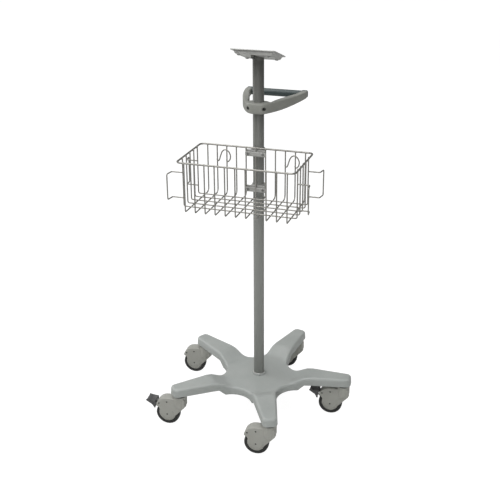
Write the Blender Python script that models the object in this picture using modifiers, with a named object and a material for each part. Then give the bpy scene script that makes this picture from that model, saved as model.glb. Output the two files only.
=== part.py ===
"""Rolling stand for a patient monitor: a five-armed base on casters, a pole, a basket, a push handle
and a tilted mounting plate. Metres, +Z up. The floor is z = 0 and the pole stands at POLE_X, POLE_Y,
so that the origin is under the middle of the stand. The basket faces -Y and the handle +Y."""

import math

import bmesh
import bpy
from mathutils import Matrix, Vector

# ---------------------------------------------------------------- driving dimensions
GAP = 0.0003  # between two faces that touch on the real stand
FIT = 0.0003  # radial clearance of a pin or a tube in its hole

POLE_X = 0.0080
POLE_Y = -0.0081
POLE_R = 0.016
POLE_WALL = 0.002
POLE_TOP = 1.114

SCREW_HEAD = 1.7  # head radius over shank radius

ARM_COUNT = 5
ARM_FIRST = math.radians(-65.9)
ARM_REACH = 0.27  # pole axis to swivel axis
ARM_END = 0.0247  # swivel axis to the end of the arm
ARM_HALF = 0.0255  # half width at the swivel axis
ARM_TAPER = 0.095  # half width gained per metre towards the pole
ARM_CORNER = 0.016  # corner of the arm's end, seen from above
NOTCH_R = 0.109  # pole axis to the bottom of the notch between two arms
EDGE_R = 0.008  # rounding of the casting's edges
HUB_TOP = 0.117
HUB_LOW = 0.113  # top of the hub where the arms begin to rise
HUB_UNDER = 0.088
ARM_TOP = 0.135
ARM_UNDER = 0.1075
RISE_FROM = 0.108  # the arms rise between these two radii
RISE_TO = 0.168
UNDER_FROM = 0.134  # their underside rises between these two
UNDER_TO = 0.158
POLE_SEAT = 0.098  # floor of the hub's pole socket
FOOT_RING_R = POLE_R + 0.0055
FOOT_RING_H = 0.0045
FOOT_BOLT_R = 0.005
FOOT_INSERT_H = 0.030  # threaded insert in the pole's foot

WHEEL_R = 0.0375
TYRE_WIDTH = 0.0235
TYRE_DEPTH = 0.012  # radial thickness of the tread
AXLE_R = 0.004
TRAIL = 0.038  # swivel axis to wheel axle
CASTER_HEADING = math.radians(184)  # direction in which every wheel trails at rest
FORK_WIDTH = 0.032
CHEEK_R = 0.0262
CHEEK_RISE = 0.0045  # the cheek's arc is centred this far above the axle
CROWN_Z = 0.0945  # top of the fork behind its head
WHEEL_ROOM = 0.0025  # between tyre and fork
HEAD_R = 0.020
HEAD_LOW = 0.068
CUP_R = 0.0185
CUP_H = 0.0044
STEM_R = 0.0055
STEM_UP = 0.022  # length of the stem inside the arm
STEM_DOWN = 0.016  # length of the stem below the arm
BRAKED = (2, 5)  # casters with a brake pedal
PEDAL_BACK = 0.064  # swivel axis to the pedal's pin
PEDAL_PIN_Z = 0.0735
PEDAL_PIN_R = 0.0016
PEDAL_TONGUE = 0.013  # width between the fork's cheeks
PEDAL_PLAY = 0.0008  # each side of the tongue in its pocket
PEDAL_WIDTH = 0.037
PEDAL_REACH = 0.040  # pin to the pad's outer edge
PEDAL_LIP = 0.0225  # pin down to the lip that presses on the tyre

PLATE_Z = POLE_TOP + 0.0206
PLATE_TILT = math.radians(18)  # front edge up
PLATE_W = 0.127
PLATE_D = 0.117
PLATE_T = 0.003
PLATE_CORNER = 0.006
TRAY_W = 0.108
TRAY_D = 0.098
TRAY_T = 0.010
TRAY_FLARE = 0.004  # the tray's ends lean out by this much towards the plate
TRAY_BEND = 0.008
PLATE_SCREW_X = 0.043
PLATE_SCREW_Y = 0.038
PLATE_SCREW_R = 0.003
SOCKET_DEPTH = 0.035  # neck of the plate's socket inside the pole

HANDLE_Z = 0.9825
HANDLE_H = 0.030
HANDLE_THIN = 0.2  # share of that height lost by the grip
HANDLE_DEPTH = 0.178  # pole axis to grip axis
HANDLE_HALF = 0.088  # half width at the grip's ends
HANDLE_COLLAR = POLE_R + 0.015  # outer radius of the collar
ARM_BAND = 0.013  # thickness of the handle's arms beside the pole
ARM_GAIN = 0.006  # added to it by the grip
GRIP_R = 0.0108
HANDLE_SCREW_X = POLE_R + 0.0075
HANDLE_SCREW_R = 0.0028
HANDLE_SCREW_Y = 0.011  # pole axis to the screw's tip
HANDLE_HEAD_R = 0.0048
HANDLE_HEAD_Y = 0.0185  # pole axis to the floor of the screw's recess
CLAMP_BACK = POLE_R + 0.005  # pole axis to the rear face of the clamp block
CLAMP_SPLIT = 0.0025  # pole axis to the joint between collar and clamp block

BASKET_W = 0.3356
BASKET_D = 0.1909
BASKET_FRONT = -POLE_R - 0.0059 - BASKET_D
BASKET_RIM_Z = 0.8678
BASKET_H = 0.1424
RIM_R = 0.0026
WIRE_R = 0.0019
FRONT_BEND = 0.005  # where a wall wire turns under the basket, at the front and sides
REAR_BEND = 0.013
RIM_BEND = 0.014
WELD = 0.0036  # a wall wire's axis stands this far inside the rim's, sunk a little into it
WIRE_SINK = 0.3  # share of a wire's radius by which a crossing wire sinks into it
CROSS_PITCH = POLE_R + 0.0132  # the clamps' bolts pass between the pole and the wire on each side of it
CROSS_WIRES = 2 * int((BASKET_W / 2 - WELD - RIM_BEND / 2) / CROSS_PITCH) + 1  # from front to back
LONG_WIRES = 5  # wires from side to side
LONG_PITCH = 0.028
HOOK_DOWN = 0.0452  # rim to the hook's feet
CLEAT_OUT = 0.033
CLEAT_LIP = 0.026
CLEAT_SPLAY = 0.004  # how far the lip leans outwards
CLEAT_H = 0.074
CLEAT_Z = 0.790
CLEAT_BEND = 0.004

BRACKET_Z = (0.8525, 0.7455)  # upper and lower basket clamp
BRACKET_W = 2 * POLE_R + 0.030
BRACKET_H = 0.012
BRACKET_T = 0.003
BAND_T = 0.003
BAND_H = 0.020
BRACKET_BOLT_X = POLE_R + 0.0062
BRACKET_BOLT_R = 0.0022

ROUND = 24  # sides of a large round piece
SMALL = 12  # sides of a small one

# ---------------------------------------------------------------- scene and materials
for old in list(bpy.data.objects):
    bpy.data.objects.remove(old, do_unlink=True)

parts = bpy.data.collections.new("monitor_stand")
tools = bpy.data.collections.new("cutters")
bpy.context.scene.collection.children.link(parts)
bpy.context.scene.collection.children.link(tools)
tools.hide_render = True


def make_material(name, colour, roughness, metallic=0.0):
    material = bpy.data.materials.new(name)
    material.use_nodes = True
    shader = material.node_tree.nodes["Principled BSDF"]
    shader.inputs["Base Color"].default_value = (*colour, 1.0)
    shader.inputs["Roughness"].default_value = roughness
    shader.inputs["Metallic"].default_value = metallic
    return material


BASE_PAINT = make_material("base_paint", (0.38, 0.43, 0.42), 0.45)
POLE_PAINT = make_material("pole_paint", (0.21, 0.21, 0.19), 0.4, 0.3)
CAST_GREY = make_material("cast_grey", (0.25, 0.25, 0.22), 0.5)
GRIP_TEAL = make_material("grip_teal", (0.05, 0.08, 0.08), 0.55)
WIRE_STEEL = make_material("wire_steel", (0.45, 0.44, 0.42), 0.3, 0.9)
PLATE_METAL = make_material("plate_metal", (0.42, 0.42, 0.41), 0.4, 0.5)
SCREW_STEEL = make_material("screw_steel", (0.2, 0.2, 0.2), 0.4, 0.8)
FORK_PLASTIC = make_material("fork_plastic", (0.36, 0.36, 0.32), 0.5)
PEDAL_PLASTIC = make_material("pedal_plastic", (0.09, 0.09, 0.09), 0.5)
TYRE_RUBBER = make_material("tyre_rubber", (0.02, 0.02, 0.02), 0.7)


# ---------------------------------------------------------------- helpers
def add_object(name, data, material=None, parent=None, collection=parts):
    made = bpy.data.objects.new(name, data)
    collection.objects.link(made)
    made.parent = parent
    if material and data and not data.materials:
        data.materials.append(material)
    return made


def add_empty(name, parent=None, location=(0, 0, 0), rotation=(0, 0, 0)):
    made = add_object(name, None, parent=parent)
    made.location = location
    made.rotation_euler = rotation
    return made


def baked(shape):
    """The evaluated mesh of an object, which is then removed with its helpers."""
    bpy.context.view_layer.update()
    graph = bpy.context.evaluated_depsgraph_get()
    mesh = bpy.data.meshes.new_from_object(shape.evaluated_get(graph))
    mesh.transform(shape.matrix_world)
    bm = bmesh.new()
    bm.from_mesh(mesh)
    bmesh.ops.remove_doubles(bm, verts=bm.verts, dist=1e-6)
    bm.to_mesh(mesh)
    bm.free()
    mesh.materials.clear()
    bpy.data.objects.remove(shape, do_unlink=True)
    return mesh


def smooth(mesh, angle=40):
    mesh.shade_smooth()
    mesh.set_sharp_from_angle(angle=math.radians(angle))
    return mesh


def moved(mesh, matrix):
    mesh.transform(matrix)
    return mesh


def combined(base, others, operation):
    """Base joined with, or cut by, each of the other meshes."""
    body = add_object("body", base, collection=tools)
    helpers = []
    for other in others:
        helper = add_object("helper", other, collection=tools)
        helpers.append(helper)
        step = body.modifiers.new("step", "BOOLEAN")
        step.operation = operation
        step.solver = "EXACT"
        step.object = helper
    result = baked(body)
    for helper in helpers:
        bpy.data.objects.remove(helper, do_unlink=True)
    return result


def union(base, *others):
    return combined(base, others, "UNION")


def cut(base, *others):
    return combined(base, others, "DIFFERENCE")


def bevelled(mesh, width, segments=2, angle=40):
    body = add_object("body", mesh, collection=tools)
    step = body.modifiers.new("bevel", "BEVEL")
    step.width = width
    step.segments = segments
    step.limit_method = "ANGLE"
    step.angle_limit = math.radians(angle)
    return baked(body)


def turned(profile, sides=ROUND):
    """A shape turned about Z from (radius, height) points that run down its outer side."""
    mesh = bpy.data.meshes.new("turned")
    count = len(profile)
    closed = min(radius for radius, _ in profile) > 0
    edges = [(i, (i + 1) % count) for i in range(count if closed else count - 1)]
    mesh.from_pydata([(radius, 0, height) for radius, height in profile], edges, [])
    body = add_object("turned", mesh, collection=tools)
    screw = body.modifiers.new("screw", "SCREW")
    screw.axis = "Z"
    screw.steps = sides
    screw.render_steps = sides
    screw.use_merge_vertices = True
    screw.merge_threshold = 0.0001
    return baked(body)


def rod(radius, low, high, sides=SMALL):
    return turned([(0, high), (radius, high), (radius, low), (0, low)], sides)


def ring(inner, outer, low, high, sides=ROUND):
    return turned([(outer, high), (outer, low), (inner, low), (inner, high)], sides)


def slab(loops, thickness):
    """A flat outline with holes, in the XY plane, thick about z = 0."""
    curve = bpy.data.curves.new("outline", "CURVE")
    curve.dimensions = "2D"
    curve.fill_mode = "BOTH"
    curve.extrude = thickness / 2
    for points in loops:
        spline = curve.splines.new("POLY")
        spline.points.add(len(points) - 1)
        for target, (x, y) in zip(spline.points, points):
            target.co = (x, y, 0, 1)
        spline.use_cyclic_u = True
    return baked(add_object("slab", curve, collection=tools))


def box(size, centre):
    mesh = bpy.data.meshes.new("box")
    bm = bmesh.new()
    bmesh.ops.create_cube(bm, size=1, matrix=Matrix.Translation(centre) @ Matrix.Diagonal((*size, 1)))
    bm.to_mesh(mesh)
    bm.free()
    return mesh


def tube(points, radius, closed=False, resolution=1):
    curve = bpy.data.curves.new("wire", "CURVE")
    curve.dimensions = "3D"
    curve.bevel_depth = radius
    curve.bevel_resolution = resolution
    curve.use_fill_caps = True
    spline = curve.splines.new("POLY")
    spline.points.add(len(points) - 1)
    for target, point in zip(spline.points, points):
        target.co = (*point, 1)
    spline.use_cyclic_u = closed
    return baked(add_object("wire", curve, collection=tools))


def arc(centre, radius, start, end, steps):
    """Points on an arc, angles in degrees."""
    angles = [math.radians(start + (end - start) * i / steps) for i in range(steps + 1)]
    return [(centre[0] + radius * math.cos(a), centre[1] + radius * math.sin(a)) for a in angles]


def rounded(corners, radii, steps=3, closed=False):
    """A path through the corners with each inner corner replaced by an arc, of its own radius where
    radii is a tuple."""
    corners = [Vector(corner) for corner in corners]
    count = len(corners)
    own = isinstance(radii, tuple)
    path = [] if closed else [corners[0]]
    for i in range(count) if closed else range(1, count - 1):
        here = corners[i]
        back = (corners[i - 1] - here).normalized()
        ahead = (corners[(i + 1) % count] - here).normalized()
        half = back.angle(ahead) / 2
        radius = radii[i - 1] if own else radii
        inset = radius / math.tan(half)
        centre = here + (back + ahead).normalized() * radius / math.sin(half)
        start = here + back * inset - centre
        end = here + ahead * inset - centre
        turn = start.angle(end)
        for k in range(steps + 1):
            t = k / steps
            point = start * math.sin((1 - t) * turn) + end * math.sin(t * turn)
            path.append(centre + point / math.sin(turn))
    if not closed:
        path.append(corners[-1])
    return path


UPRIGHT = Matrix.Rotation(math.pi / 2, 4, "X")  # an outline's Y becomes Z, its thickness runs along Y
ALONG_Y = Matrix.Rotation(-math.pi / 2, 4, "X")  # a turned shape's Z becomes Y


# ---------------------------------------------------------------- base
def smooth_step(value, start, end):
    t = min(max((value - start) / (end - start), 0), 1)
    return t * t * (3 - 2 * t)


def base_top(radius):
    crown = HUB_TOP + (HUB_LOW - HUB_TOP) * smooth_step(radius, 0.02, RISE_FROM)
    return crown + (ARM_TOP - HUB_LOW) * smooth_step(radius, RISE_FROM, RISE_TO)


def base_under(radius):
    return HUB_UNDER + (ARM_UNDER - HUB_UNDER) * smooth_step(radius, UNDER_FROM, UNDER_TO)


def half_arm():
    """The outline from the middle of the arm's end to the bottom of the notch, arm along +X."""
    end = ARM_REACH + ARM_END
    side_at = lambda x: ARM_HALF + (ARM_REACH - x) * ARM_TAPER
    corner = (end - ARM_CORNER, side_at(end) - ARM_CORNER)
    points = [(end, 0)] + arc(corner, ARM_CORNER, 0, 84, 3)
    points += [(x, side_at(x)) for x in (ARM_REACH * 0.8, UNDER_TO, (UNDER_FROM + UNDER_TO) / 2)]
    half_turn = math.pi / ARM_COUNT
    slope = math.hypot(1, ARM_TAPER)
    reach = math.sin(half_turn) + ARM_TAPER * math.cos(half_turn)
    fillet = (reach * NOTCH_R - side_at(0)) / (slope - reach)
    middle = Vector((math.cos(half_turn), math.sin(half_turn))) * (NOTCH_R + fillet)
    start = math.degrees(math.atan2(-1, -ARM_TAPER)) + 360
    stop = math.degrees(half_turn) + 180
    points += arc(middle, fillet, start, stop, 5)
    return points


def base_outline():
    half = half_arm()
    points = []
    for i in range(ARM_COUNT):
        turn = Matrix.Rotation(ARM_FIRST + i * math.tau / ARM_COUNT, 2)
        arm = [(x, -y) for x, y in reversed(half[1:-1])] + half
        points += [turn @ Vector(point) for point in arm]
    return points


def inset(points, distance):
    """The outline moved inwards by a distance."""
    count = len(points)
    result = []
    for i, point in enumerate(points):
        ahead = (points[(i + 1) % count] - points[i - 1]).normalized()
        result.append(point + Vector((-ahead.y, ahead.x)) * distance)
    return result


def loft(rings, top_centre, under_centre):
    """A closed body from rings of equal count, listed from the top middle to the underside's."""
    mesh = bpy.data.meshes.new("loft")
    count = len(rings[0])
    points = [tuple(point) for row in rings for point in row] + [top_centre, under_centre]
    top, under = len(points) - 2, len(points) - 1
    faces = []
    for i in range(count):
        j = (i + 1) % count
        faces.append((top, i, j))
        faces.append((under, (len(rings) - 1) * count + j, (len(rings) - 1) * count + i))
        for row in range(len(rings) - 1):
            a, b = row * count, (row + 1) * count
            faces.append((a + i, b + i, b + j, a + j))
    mesh.from_pydata(points, [], faces)
    return mesh


def base_body():
    outline = base_outline()
    rounding = [(EDGE_R * (1 - math.cos(a)), EDGE_R * (1 - math.sin(a)))
                for a in (math.radians(90), math.radians(45), 0)]
    rim = inset(outline, EDGE_R)
    rings = []
    for share in (0.22, 0.40, 0.50, 0.62, 0.80):
        rings.append([(*(point * share), base_top(point.length * share)) for point in rim])
    for shift, drop in rounding:
        rings.append([(*p, base_top(p.length) - drop) for p in inset(outline, shift)])
    for shift, drop in reversed(rounding):
        rings.append([(*p, base_under(p.length) + drop) for p in inset(outline, shift)])
    for share in (0.8, 0.57, 0.46, 0.3):
        rings.append([(*(point * share), base_under(point.length * share)) for point in rim])
    return loft(rings, (0, 0, HUB_TOP), (0, 0, HUB_UNDER))


def swivel_place(index):
    angle = ARM_FIRST + index * math.tau / ARM_COUNT
    return Vector((ARM_REACH * math.cos(angle), ARM_REACH * math.sin(angle), 0))


def build_base(stand):
    sockets = [moved(rod(STEM_R + FIT, ARM_UNDER - 0.02, ARM_UNDER + STEM_UP + GAP),
                     Matrix.Translation(swivel_place(i))) for i in range(ARM_COUNT)]
    seat = rod(POLE_R + FIT, POLE_SEAT, HUB_TOP + 0.02, ROUND)
    bolt_hole = rod(FOOT_BOLT_R + FIT, HUB_UNDER - 0.02, HUB_TOP)
    body = cut(base_body(), seat, bolt_hole, *sockets)
    add_object("base_casting", smooth(body), BASE_PAINT, stand)
    low, high = HUB_TOP + GAP, HUB_TOP + FOOT_RING_H
    foot = turned([(FOOT_RING_R - 0.0015, high), (FOOT_RING_R, high - 0.0015), (FOOT_RING_R, low),
                   (POLE_R + FIT, low), (POLE_R + FIT, high)])
    add_object("pole_foot_ring", smooth(foot), BASE_PAINT, stand)


# ---------------------------------------------------------------- pole
def build_pole(stand):
    low = POLE_SEAT + GAP
    bore = POLE_R - POLE_WALL
    add_object("pole_tube", smooth(ring(bore, POLE_R, low, POLE_TOP)), POLE_PAINT, stand)
    insert = ring(FOOT_BOLT_R + FIT, bore - FIT, low, low + FOOT_INSERT_H)
    add_object("pole_foot_insert", smooth(insert), SCREW_STEEL, stand)
    head, seat = FOOT_BOLT_R * SCREW_HEAD, HUB_UNDER - GAP
    tip = low + FOOT_INSERT_H - 0.004
    bolt = turned([(0, tip), (FOOT_BOLT_R, tip), (FOOT_BOLT_R, seat), (head, seat),
                   (head, seat - FOOT_BOLT_R), (0, seat - FOOT_BOLT_R)], SMALL)
    add_object("pole_foot_bolt", smooth(bolt), SCREW_STEEL, stand)


# ---------------------------------------------------------------- casters
def fork_outline():
    """The fork seen from its side: x is the distance behind the swivel axis, y the height."""
    cheek = arc((TRAIL, WHEEL_R + CHEEK_RISE), CHEEK_R, 218, 388, 8)
    skirt = [(TRAIL + 0.0285, WHEEL_R + 0.0208), (TRAIL + 0.0365, WHEEL_R + 0.0270)]
    crown = [(TRAIL + 0.0355, CROWN_Z - 0.0245), (TRAIL + 0.0305, CROWN_Z - 0.0150),
             (TRAIL + 0.0205, CROWN_Z - 0.0055), (TRAIL + 0.0075, CROWN_Z - 0.0007), (TRAIL - 0.012, CROWN_Z)]
    return [(-HEAD_R + 0.0005, HEAD_LOW)] + cheek + skirt + crown + [(-HEAD_R + 0.0005, CROWN_Z)]


def fork_body(braked):
    cheeks = bevelled(moved(slab([fork_outline()], FORK_WIDTH), UPRIGHT), 0.002, 1)
    top = ARM_UNDER - CUP_H - 2 * GAP
    head = turned([(0, top), (HEAD_R - 0.001, top), (HEAD_R, top - 0.001), (HEAD_R, HEAD_LOW),
                   (HEAD_R - 0.006, HEAD_LOW - 0.006), (0, HEAD_LOW - 0.006)], ROUND)
    room = rod(WHEEL_R + WHEEL_ROOM, -TYRE_WIDTH / 2 - 0.001, TYRE_WIDTH / 2 + 0.001, ROUND)
    room = moved(room, Matrix.Translation((TRAIL, 0, WHEEL_R)) @ ALONG_Y)
    axle = rod(AXLE_R + FIT, -FORK_WIDTH, FORK_WIDTH)
    axle = moved(axle, Matrix.Translation((TRAIL, 0, WHEEL_R)) @ ALONG_Y)
    stem = rod(STEM_R + FIT, ARM_UNDER - STEM_DOWN - GAP, ARM_UNDER + 0.02)
    cutters = [room, axle, stem]
    if braked:
        pocket = box((0.040, PEDAL_TONGUE + 2 * PEDAL_PLAY, 0.0195),
                     (PEDAL_BACK + 0.0155, 0, PEDAL_PIN_Z - 0.0045))
        pin = rod(PEDAL_PIN_R + FIT, -FORK_WIDTH, FORK_WIDTH)
        pin = moved(pin, Matrix.Translation((PEDAL_BACK, 0, PEDAL_PIN_Z)) @ ALONG_Y)
        cutters += [pocket, pin]
    return smooth(cut(union(cheeks, head), *cutters))


def tyre_body():
    half = TYRE_WIDTH / 2
    inner = WHEEL_R - TYRE_DEPTH
    profile = [(WHEEL_R - 0.0025, half), (WHEEL_R, half - 0.004), (WHEEL_R, -half + 0.004),
               (WHEEL_R - 0.0025, -half), (inner, -half), (inner, half)]
    return smooth(moved(turned(profile, ROUND), ALONG_Y))


def wheel_body():
    """The wheel's core, which turns on the axle and carries the tyre."""
    half = TYRE_WIDTH / 2
    return smooth(moved(ring(AXLE_R + FIT, WHEEL_R - TYRE_DEPTH - GAP, -half, half), ALONG_Y))


def pedal_body():
    """The pedal about its pin: a tongue between the cheeks, a wide pad and a lip over the tyre."""
    reach, low = PEDAL_REACH, -PEDAL_LIP
    lever = arc((0, 0), 0.0034, 90, 270, 5) + [(0.016, -0.0034), (0.016, 0.0034)]
    pad = [(0.0118, -0.0035), (0.0150, -0.0090), (0.0155, low), (0.0180, low), (0.0195, -0.0130),
           (0.0225, -0.0070), (reach - 0.0015, 0.0040), (reach, 0.0080), (reach - 0.0015, 0.0100),
           (0.026, 0.0066), (0.0118, 0.0050)]
    tongue = moved(slab([lever], PEDAL_TONGUE), UPRIGHT)
    wide = bevelled(moved(slab([pad], PEDAL_WIDTH), UPRIGHT), 0.001, 1)
    hole = moved(rod(PEDAL_PIN_R + FIT, -FORK_WIDTH, FORK_WIDTH), ALONG_Y)
    return smooth(cut(union(wide, tongue), hole))


def build_casters(stand):
    top = ARM_UNDER - GAP
    stem = smooth(rod(STEM_R, ARM_UNDER - STEM_DOWN, ARM_UNDER + STEM_UP))
    cup = smooth(ring(STEM_R + FIT, CUP_R, top - CUP_H, top))
    axle = smooth(moved(rod(AXLE_R, -FORK_WIDTH / 2, FORK_WIDTH / 2), ALONG_Y))
    pin = smooth(moved(rod(PEDAL_PIN_R, -FORK_WIDTH / 2, FORK_WIDTH / 2), ALONG_Y))
    plain, braked = fork_body(False), fork_body(True)
    tyre, core, pedal = tyre_body(), wheel_body(), pedal_body()
    for i in range(ARM_COUNT):
        number = i + 1
        name = f"caster_{number}"
        mount = add_empty(f"{name}_mount", stand, swivel_place(i))
        add_object(f"{name}_stem", stem, SCREW_STEEL, mount)
        add_object(f"{name}_cup", cup, TYRE_RUBBER, mount)
        swivel = add_empty(f"{name}_swivel", mount, rotation=(0, 0, CASTER_HEADING))
        add_object(f"{name}_fork", braked if number in BRAKED else plain, FORK_PLASTIC, swivel)
        spin = add_empty(f"{name}_spin", swivel, (TRAIL, 0, WHEEL_R))
        add_object(f"{name}_axle", axle, SCREW_STEEL, spin)
        add_object(f"{name}_wheel", core, FORK_PLASTIC, spin)
        add_object(f"{name}_tyre", tyre, TYRE_RUBBER, spin)
        if number in BRAKED:
            hinge = add_empty(f"{name}_brake", swivel, (PEDAL_BACK, 0, PEDAL_PIN_Z))
            add_object(f"{name}_pedal", pedal, PEDAL_PLASTIC, hinge)
            add_object(f"{name}_pedal_pin", pin, SCREW_STEEL, hinge)


# ---------------------------------------------------------------- monitor plate
def rectangle(width, depth, corner, steps=3):
    x, y = width / 2 - corner, depth / 2 - corner
    return (arc((x, -y), corner, -90, 0, steps) + arc((x, y), corner, 0, 90, steps)
            + arc((-x, y), corner, 90, 180, steps) + arc((-x, -y), corner, 180, 270, steps))


def build_plate(stand):
    tilt = add_empty("plate_tilt", stand, (0, 0, PLATE_Z), (-PLATE_TILT, 0, 0))
    places = [(sx * PLATE_SCREW_X, sy * PLATE_SCREW_Y) for sy in (-1, 1) for sx in (-1, 1)]
    holes = [arc(place, PLATE_SCREW_R + FIT, 0, 330, 11) for place in places]
    sheet = moved(slab([rectangle(PLATE_W, PLATE_D, PLATE_CORNER)] + holes, PLATE_T),
                  Matrix.Translation((0, 0, -PLATE_T / 2)))
    add_object("monitor_plate", sheet, PLATE_METAL, tilt)

    top, under = -PLATE_T - GAP, -PLATE_T - TRAY_T
    half = TRAY_W / 2
    hull = ([(half + TRAY_FLARE, top), (-half - TRAY_FLARE, top)]
            + arc((TRAY_BEND - half, under + TRAY_BEND), TRAY_BEND, 190, 270, 3)
            + arc((half - TRAY_BEND, under + TRAY_BEND), TRAY_BEND, 270, 350, 3))
    tray = moved(slab([hull], TRAY_D), UPRIGHT)
    bores = [moved(rod(PLATE_SCREW_R + FIT, under - 0.01, top + 0.01), Matrix.Translation((*place, 0)))
             for place in places]
    add_object("plate_tray", smooth(cut(tray, *bores)), PLATE_METAL, tilt)
    head, seat = PLATE_SCREW_R * SCREW_HEAD, under - GAP
    screw = smooth(turned([(0, -GAP), (PLATE_SCREW_R, -GAP), (PLATE_SCREW_R, seat), (head, seat),
                           (head * 0.8, seat - 0.0022), (0, seat - 0.0022)], SMALL))
    for number, place in enumerate(places, 1):
        made = add_object(f"plate_screw_{number}", screw, SCREW_STEEL, tilt)
        made.location = (*place, 0)

    neck_r, neck_low, neck_high = POLE_R - POLE_WALL - FIT, POLE_TOP - SOCKET_DEPTH, POLE_TOP + GAP
    socket = turned([(0, PLATE_Z), (POLE_R, PLATE_Z), (POLE_R, neck_high), (neck_r, neck_high),
                     (neck_r, neck_low), (0, neck_low)])
    lug = bevelled(box((0.009, 0.040, 0.012), (-0.002, -0.029, under - 0.0005)), 0.002, 1)
    lug = moved(lug, Matrix.Translation((0, 0, PLATE_Z)) @ Matrix.Rotation(-PLATE_TILT, 4, "X"))
    above = box((0.1, 0.15, 0.06), (0, 0, under + 0.03 - GAP))
    above = moved(above, Matrix.Translation((0, 0, PLATE_Z)) @ Matrix.Rotation(-PLATE_TILT, 4, "X"))
    add_object("plate_socket", smooth(cut(union(socket, lug), above)), POLE_PAINT, stand)


# ---------------------------------------------------------------- handle
def arm_band(y):
    """Thickness of the handle's arms at the given distance behind the pole axis."""
    return ARM_BAND + ARM_GAIN * y / HANDLE_DEPTH


def handle_outline(side):
    """Outer edge of one arm in plan, from the collar's front to the end of the grip."""
    return [(side * 0.016, -HANDLE_COLLAR + 0.002), (side * 0.028, -0.020), (side * 0.040, -0.002),
            (side * 0.054, 0.026), (side * 0.067, 0.060), (side * 0.078, 0.095), (side * 0.087, 0.130),
            (side * (HANDLE_HALF + 0.005), HANDLE_DEPTH - 0.016),
            (side * (HANDLE_HALF + 0.006), HANDLE_DEPTH + 0.002),
            (side * (HANDLE_HALF + 0.003), HANDLE_DEPTH + 0.0115)]


def handle_inside(side):
    """Inner edge of one arm in plan, from the grip back to the clamp."""
    knots = ((0.087, 0.132), (0.078, 0.099), (0.067, 0.065), (0.054, 0.034))
    end = HANDLE_HALF + 0.006 - arm_band(HANDLE_DEPTH)
    return [(side * end, HANDLE_DEPTH + 0.0115), (side * end, HANDLE_DEPTH - 0.014)] + [
        (side * (x - arm_band(y)), y) for x, y in knots
    ] + [(side * (POLE_R + 0.018), 0.012), (side * (POLE_R + 0.015), CLAMP_SPLIT)]


def build_handle(stand):
    level = add_empty("handle_level", stand, (0, 0, HANDLE_Z))
    recess = arc((0, 0), POLE_R + FIT, 180, 360, 12)
    inside_left, inside_right = handle_inside(-1), handle_inside(1)
    outline = (list(reversed(handle_outline(-1))) + handle_outline(1) + inside_right
               + [(POLE_R + FIT, CLAMP_SPLIT)] + list(reversed(recess)) + [(-POLE_R - FIT, CLAMP_SPLIT)]
               + list(reversed(inside_left)))
    frame = bevelled(slab([outline], HANDLE_H), 0.004, 2)
    for vertex in frame.vertices:
        vertex.co.z *= 1 - HANDLE_THIN * smooth_step(vertex.co.y, 0.02, HANDLE_DEPTH)
    sockets = rod(GRIP_R + FIT, -HANDLE_HALF, HANDLE_HALF, 20)
    along_x = Matrix.Translation((0, HANDLE_DEPTH, 0)) @ Matrix.Rotation(math.pi / 2, 4, "Y")
    screw_holes = []
    for side in (-1, 1):
        for radius, high in ((HANDLE_SCREW_R + FIT, 0.01), (HANDLE_HEAD_R + FIT, -HANDLE_HEAD_Y)):
            hole = moved(rod(radius, -2 * HANDLE_COLLAR, high), ALONG_Y)
            screw_holes.append(moved(hole, Matrix.Translation((side * HANDLE_SCREW_X, 0, 0))))
    body = cut(frame, moved(sockets, along_x), *screw_holes)
    add_object("handle_frame", smooth(body, 35), CAST_GREY, level)

    grip = bevelled(rod(GRIP_R, -HANDLE_HALF + GAP, HANDLE_HALF - GAP, 20), 0.001, 1)
    made = add_object("handle_grip", smooth(grip), GRIP_TEAL, level)
    made.location = (0, HANDLE_DEPTH, 0)
    made.rotation_euler = (0, math.pi / 2, 0)

    front = CLAMP_SPLIT + GAP
    wing = POLE_R + 0.014
    block = ([(-wing, front), (-POLE_R - FIT, front)]
             + [(x, y) for x, y in reversed(arc((0, 0), POLE_R + FIT, 12, 168, 10))]
             + [(POLE_R + FIT, front), (wing, front), (wing, 0.012), (wing - 0.012, CLAMP_BACK),
                (0.012 - wing, CLAMP_BACK), (-wing, 0.012)])
    clamp = bevelled(slab([block], HANDLE_H - 0.004), 0.0015, 1, 50)
    bores = [moved(moved(rod(HANDLE_SCREW_R + FIT, -0.01, HANDLE_SCREW_Y + GAP), ALONG_Y),
                   Matrix.Translation((side * HANDLE_SCREW_X, 0, 0))) for side in (-1, 1)]
    add_object("handle_clamp", smooth(cut(clamp, *bores), 35), CAST_GREY, level)
    seat = -HANDLE_HEAD_Y - GAP
    screw = turned([(0, HANDLE_SCREW_Y), (HANDLE_SCREW_R, HANDLE_SCREW_Y), (HANDLE_SCREW_R, seat),
                    (HANDLE_HEAD_R, seat), (HANDLE_HEAD_R, seat - 0.004), (0, seat - 0.004)], SMALL)
    screw = smooth(moved(screw, ALONG_Y))
    for number, side in enumerate((-1, 1), 1):
        made = add_object(f"handle_screw_{number}", screw, SCREW_STEEL, level)
        made.location = (side * HANDLE_SCREW_X, 0, 0)


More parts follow.
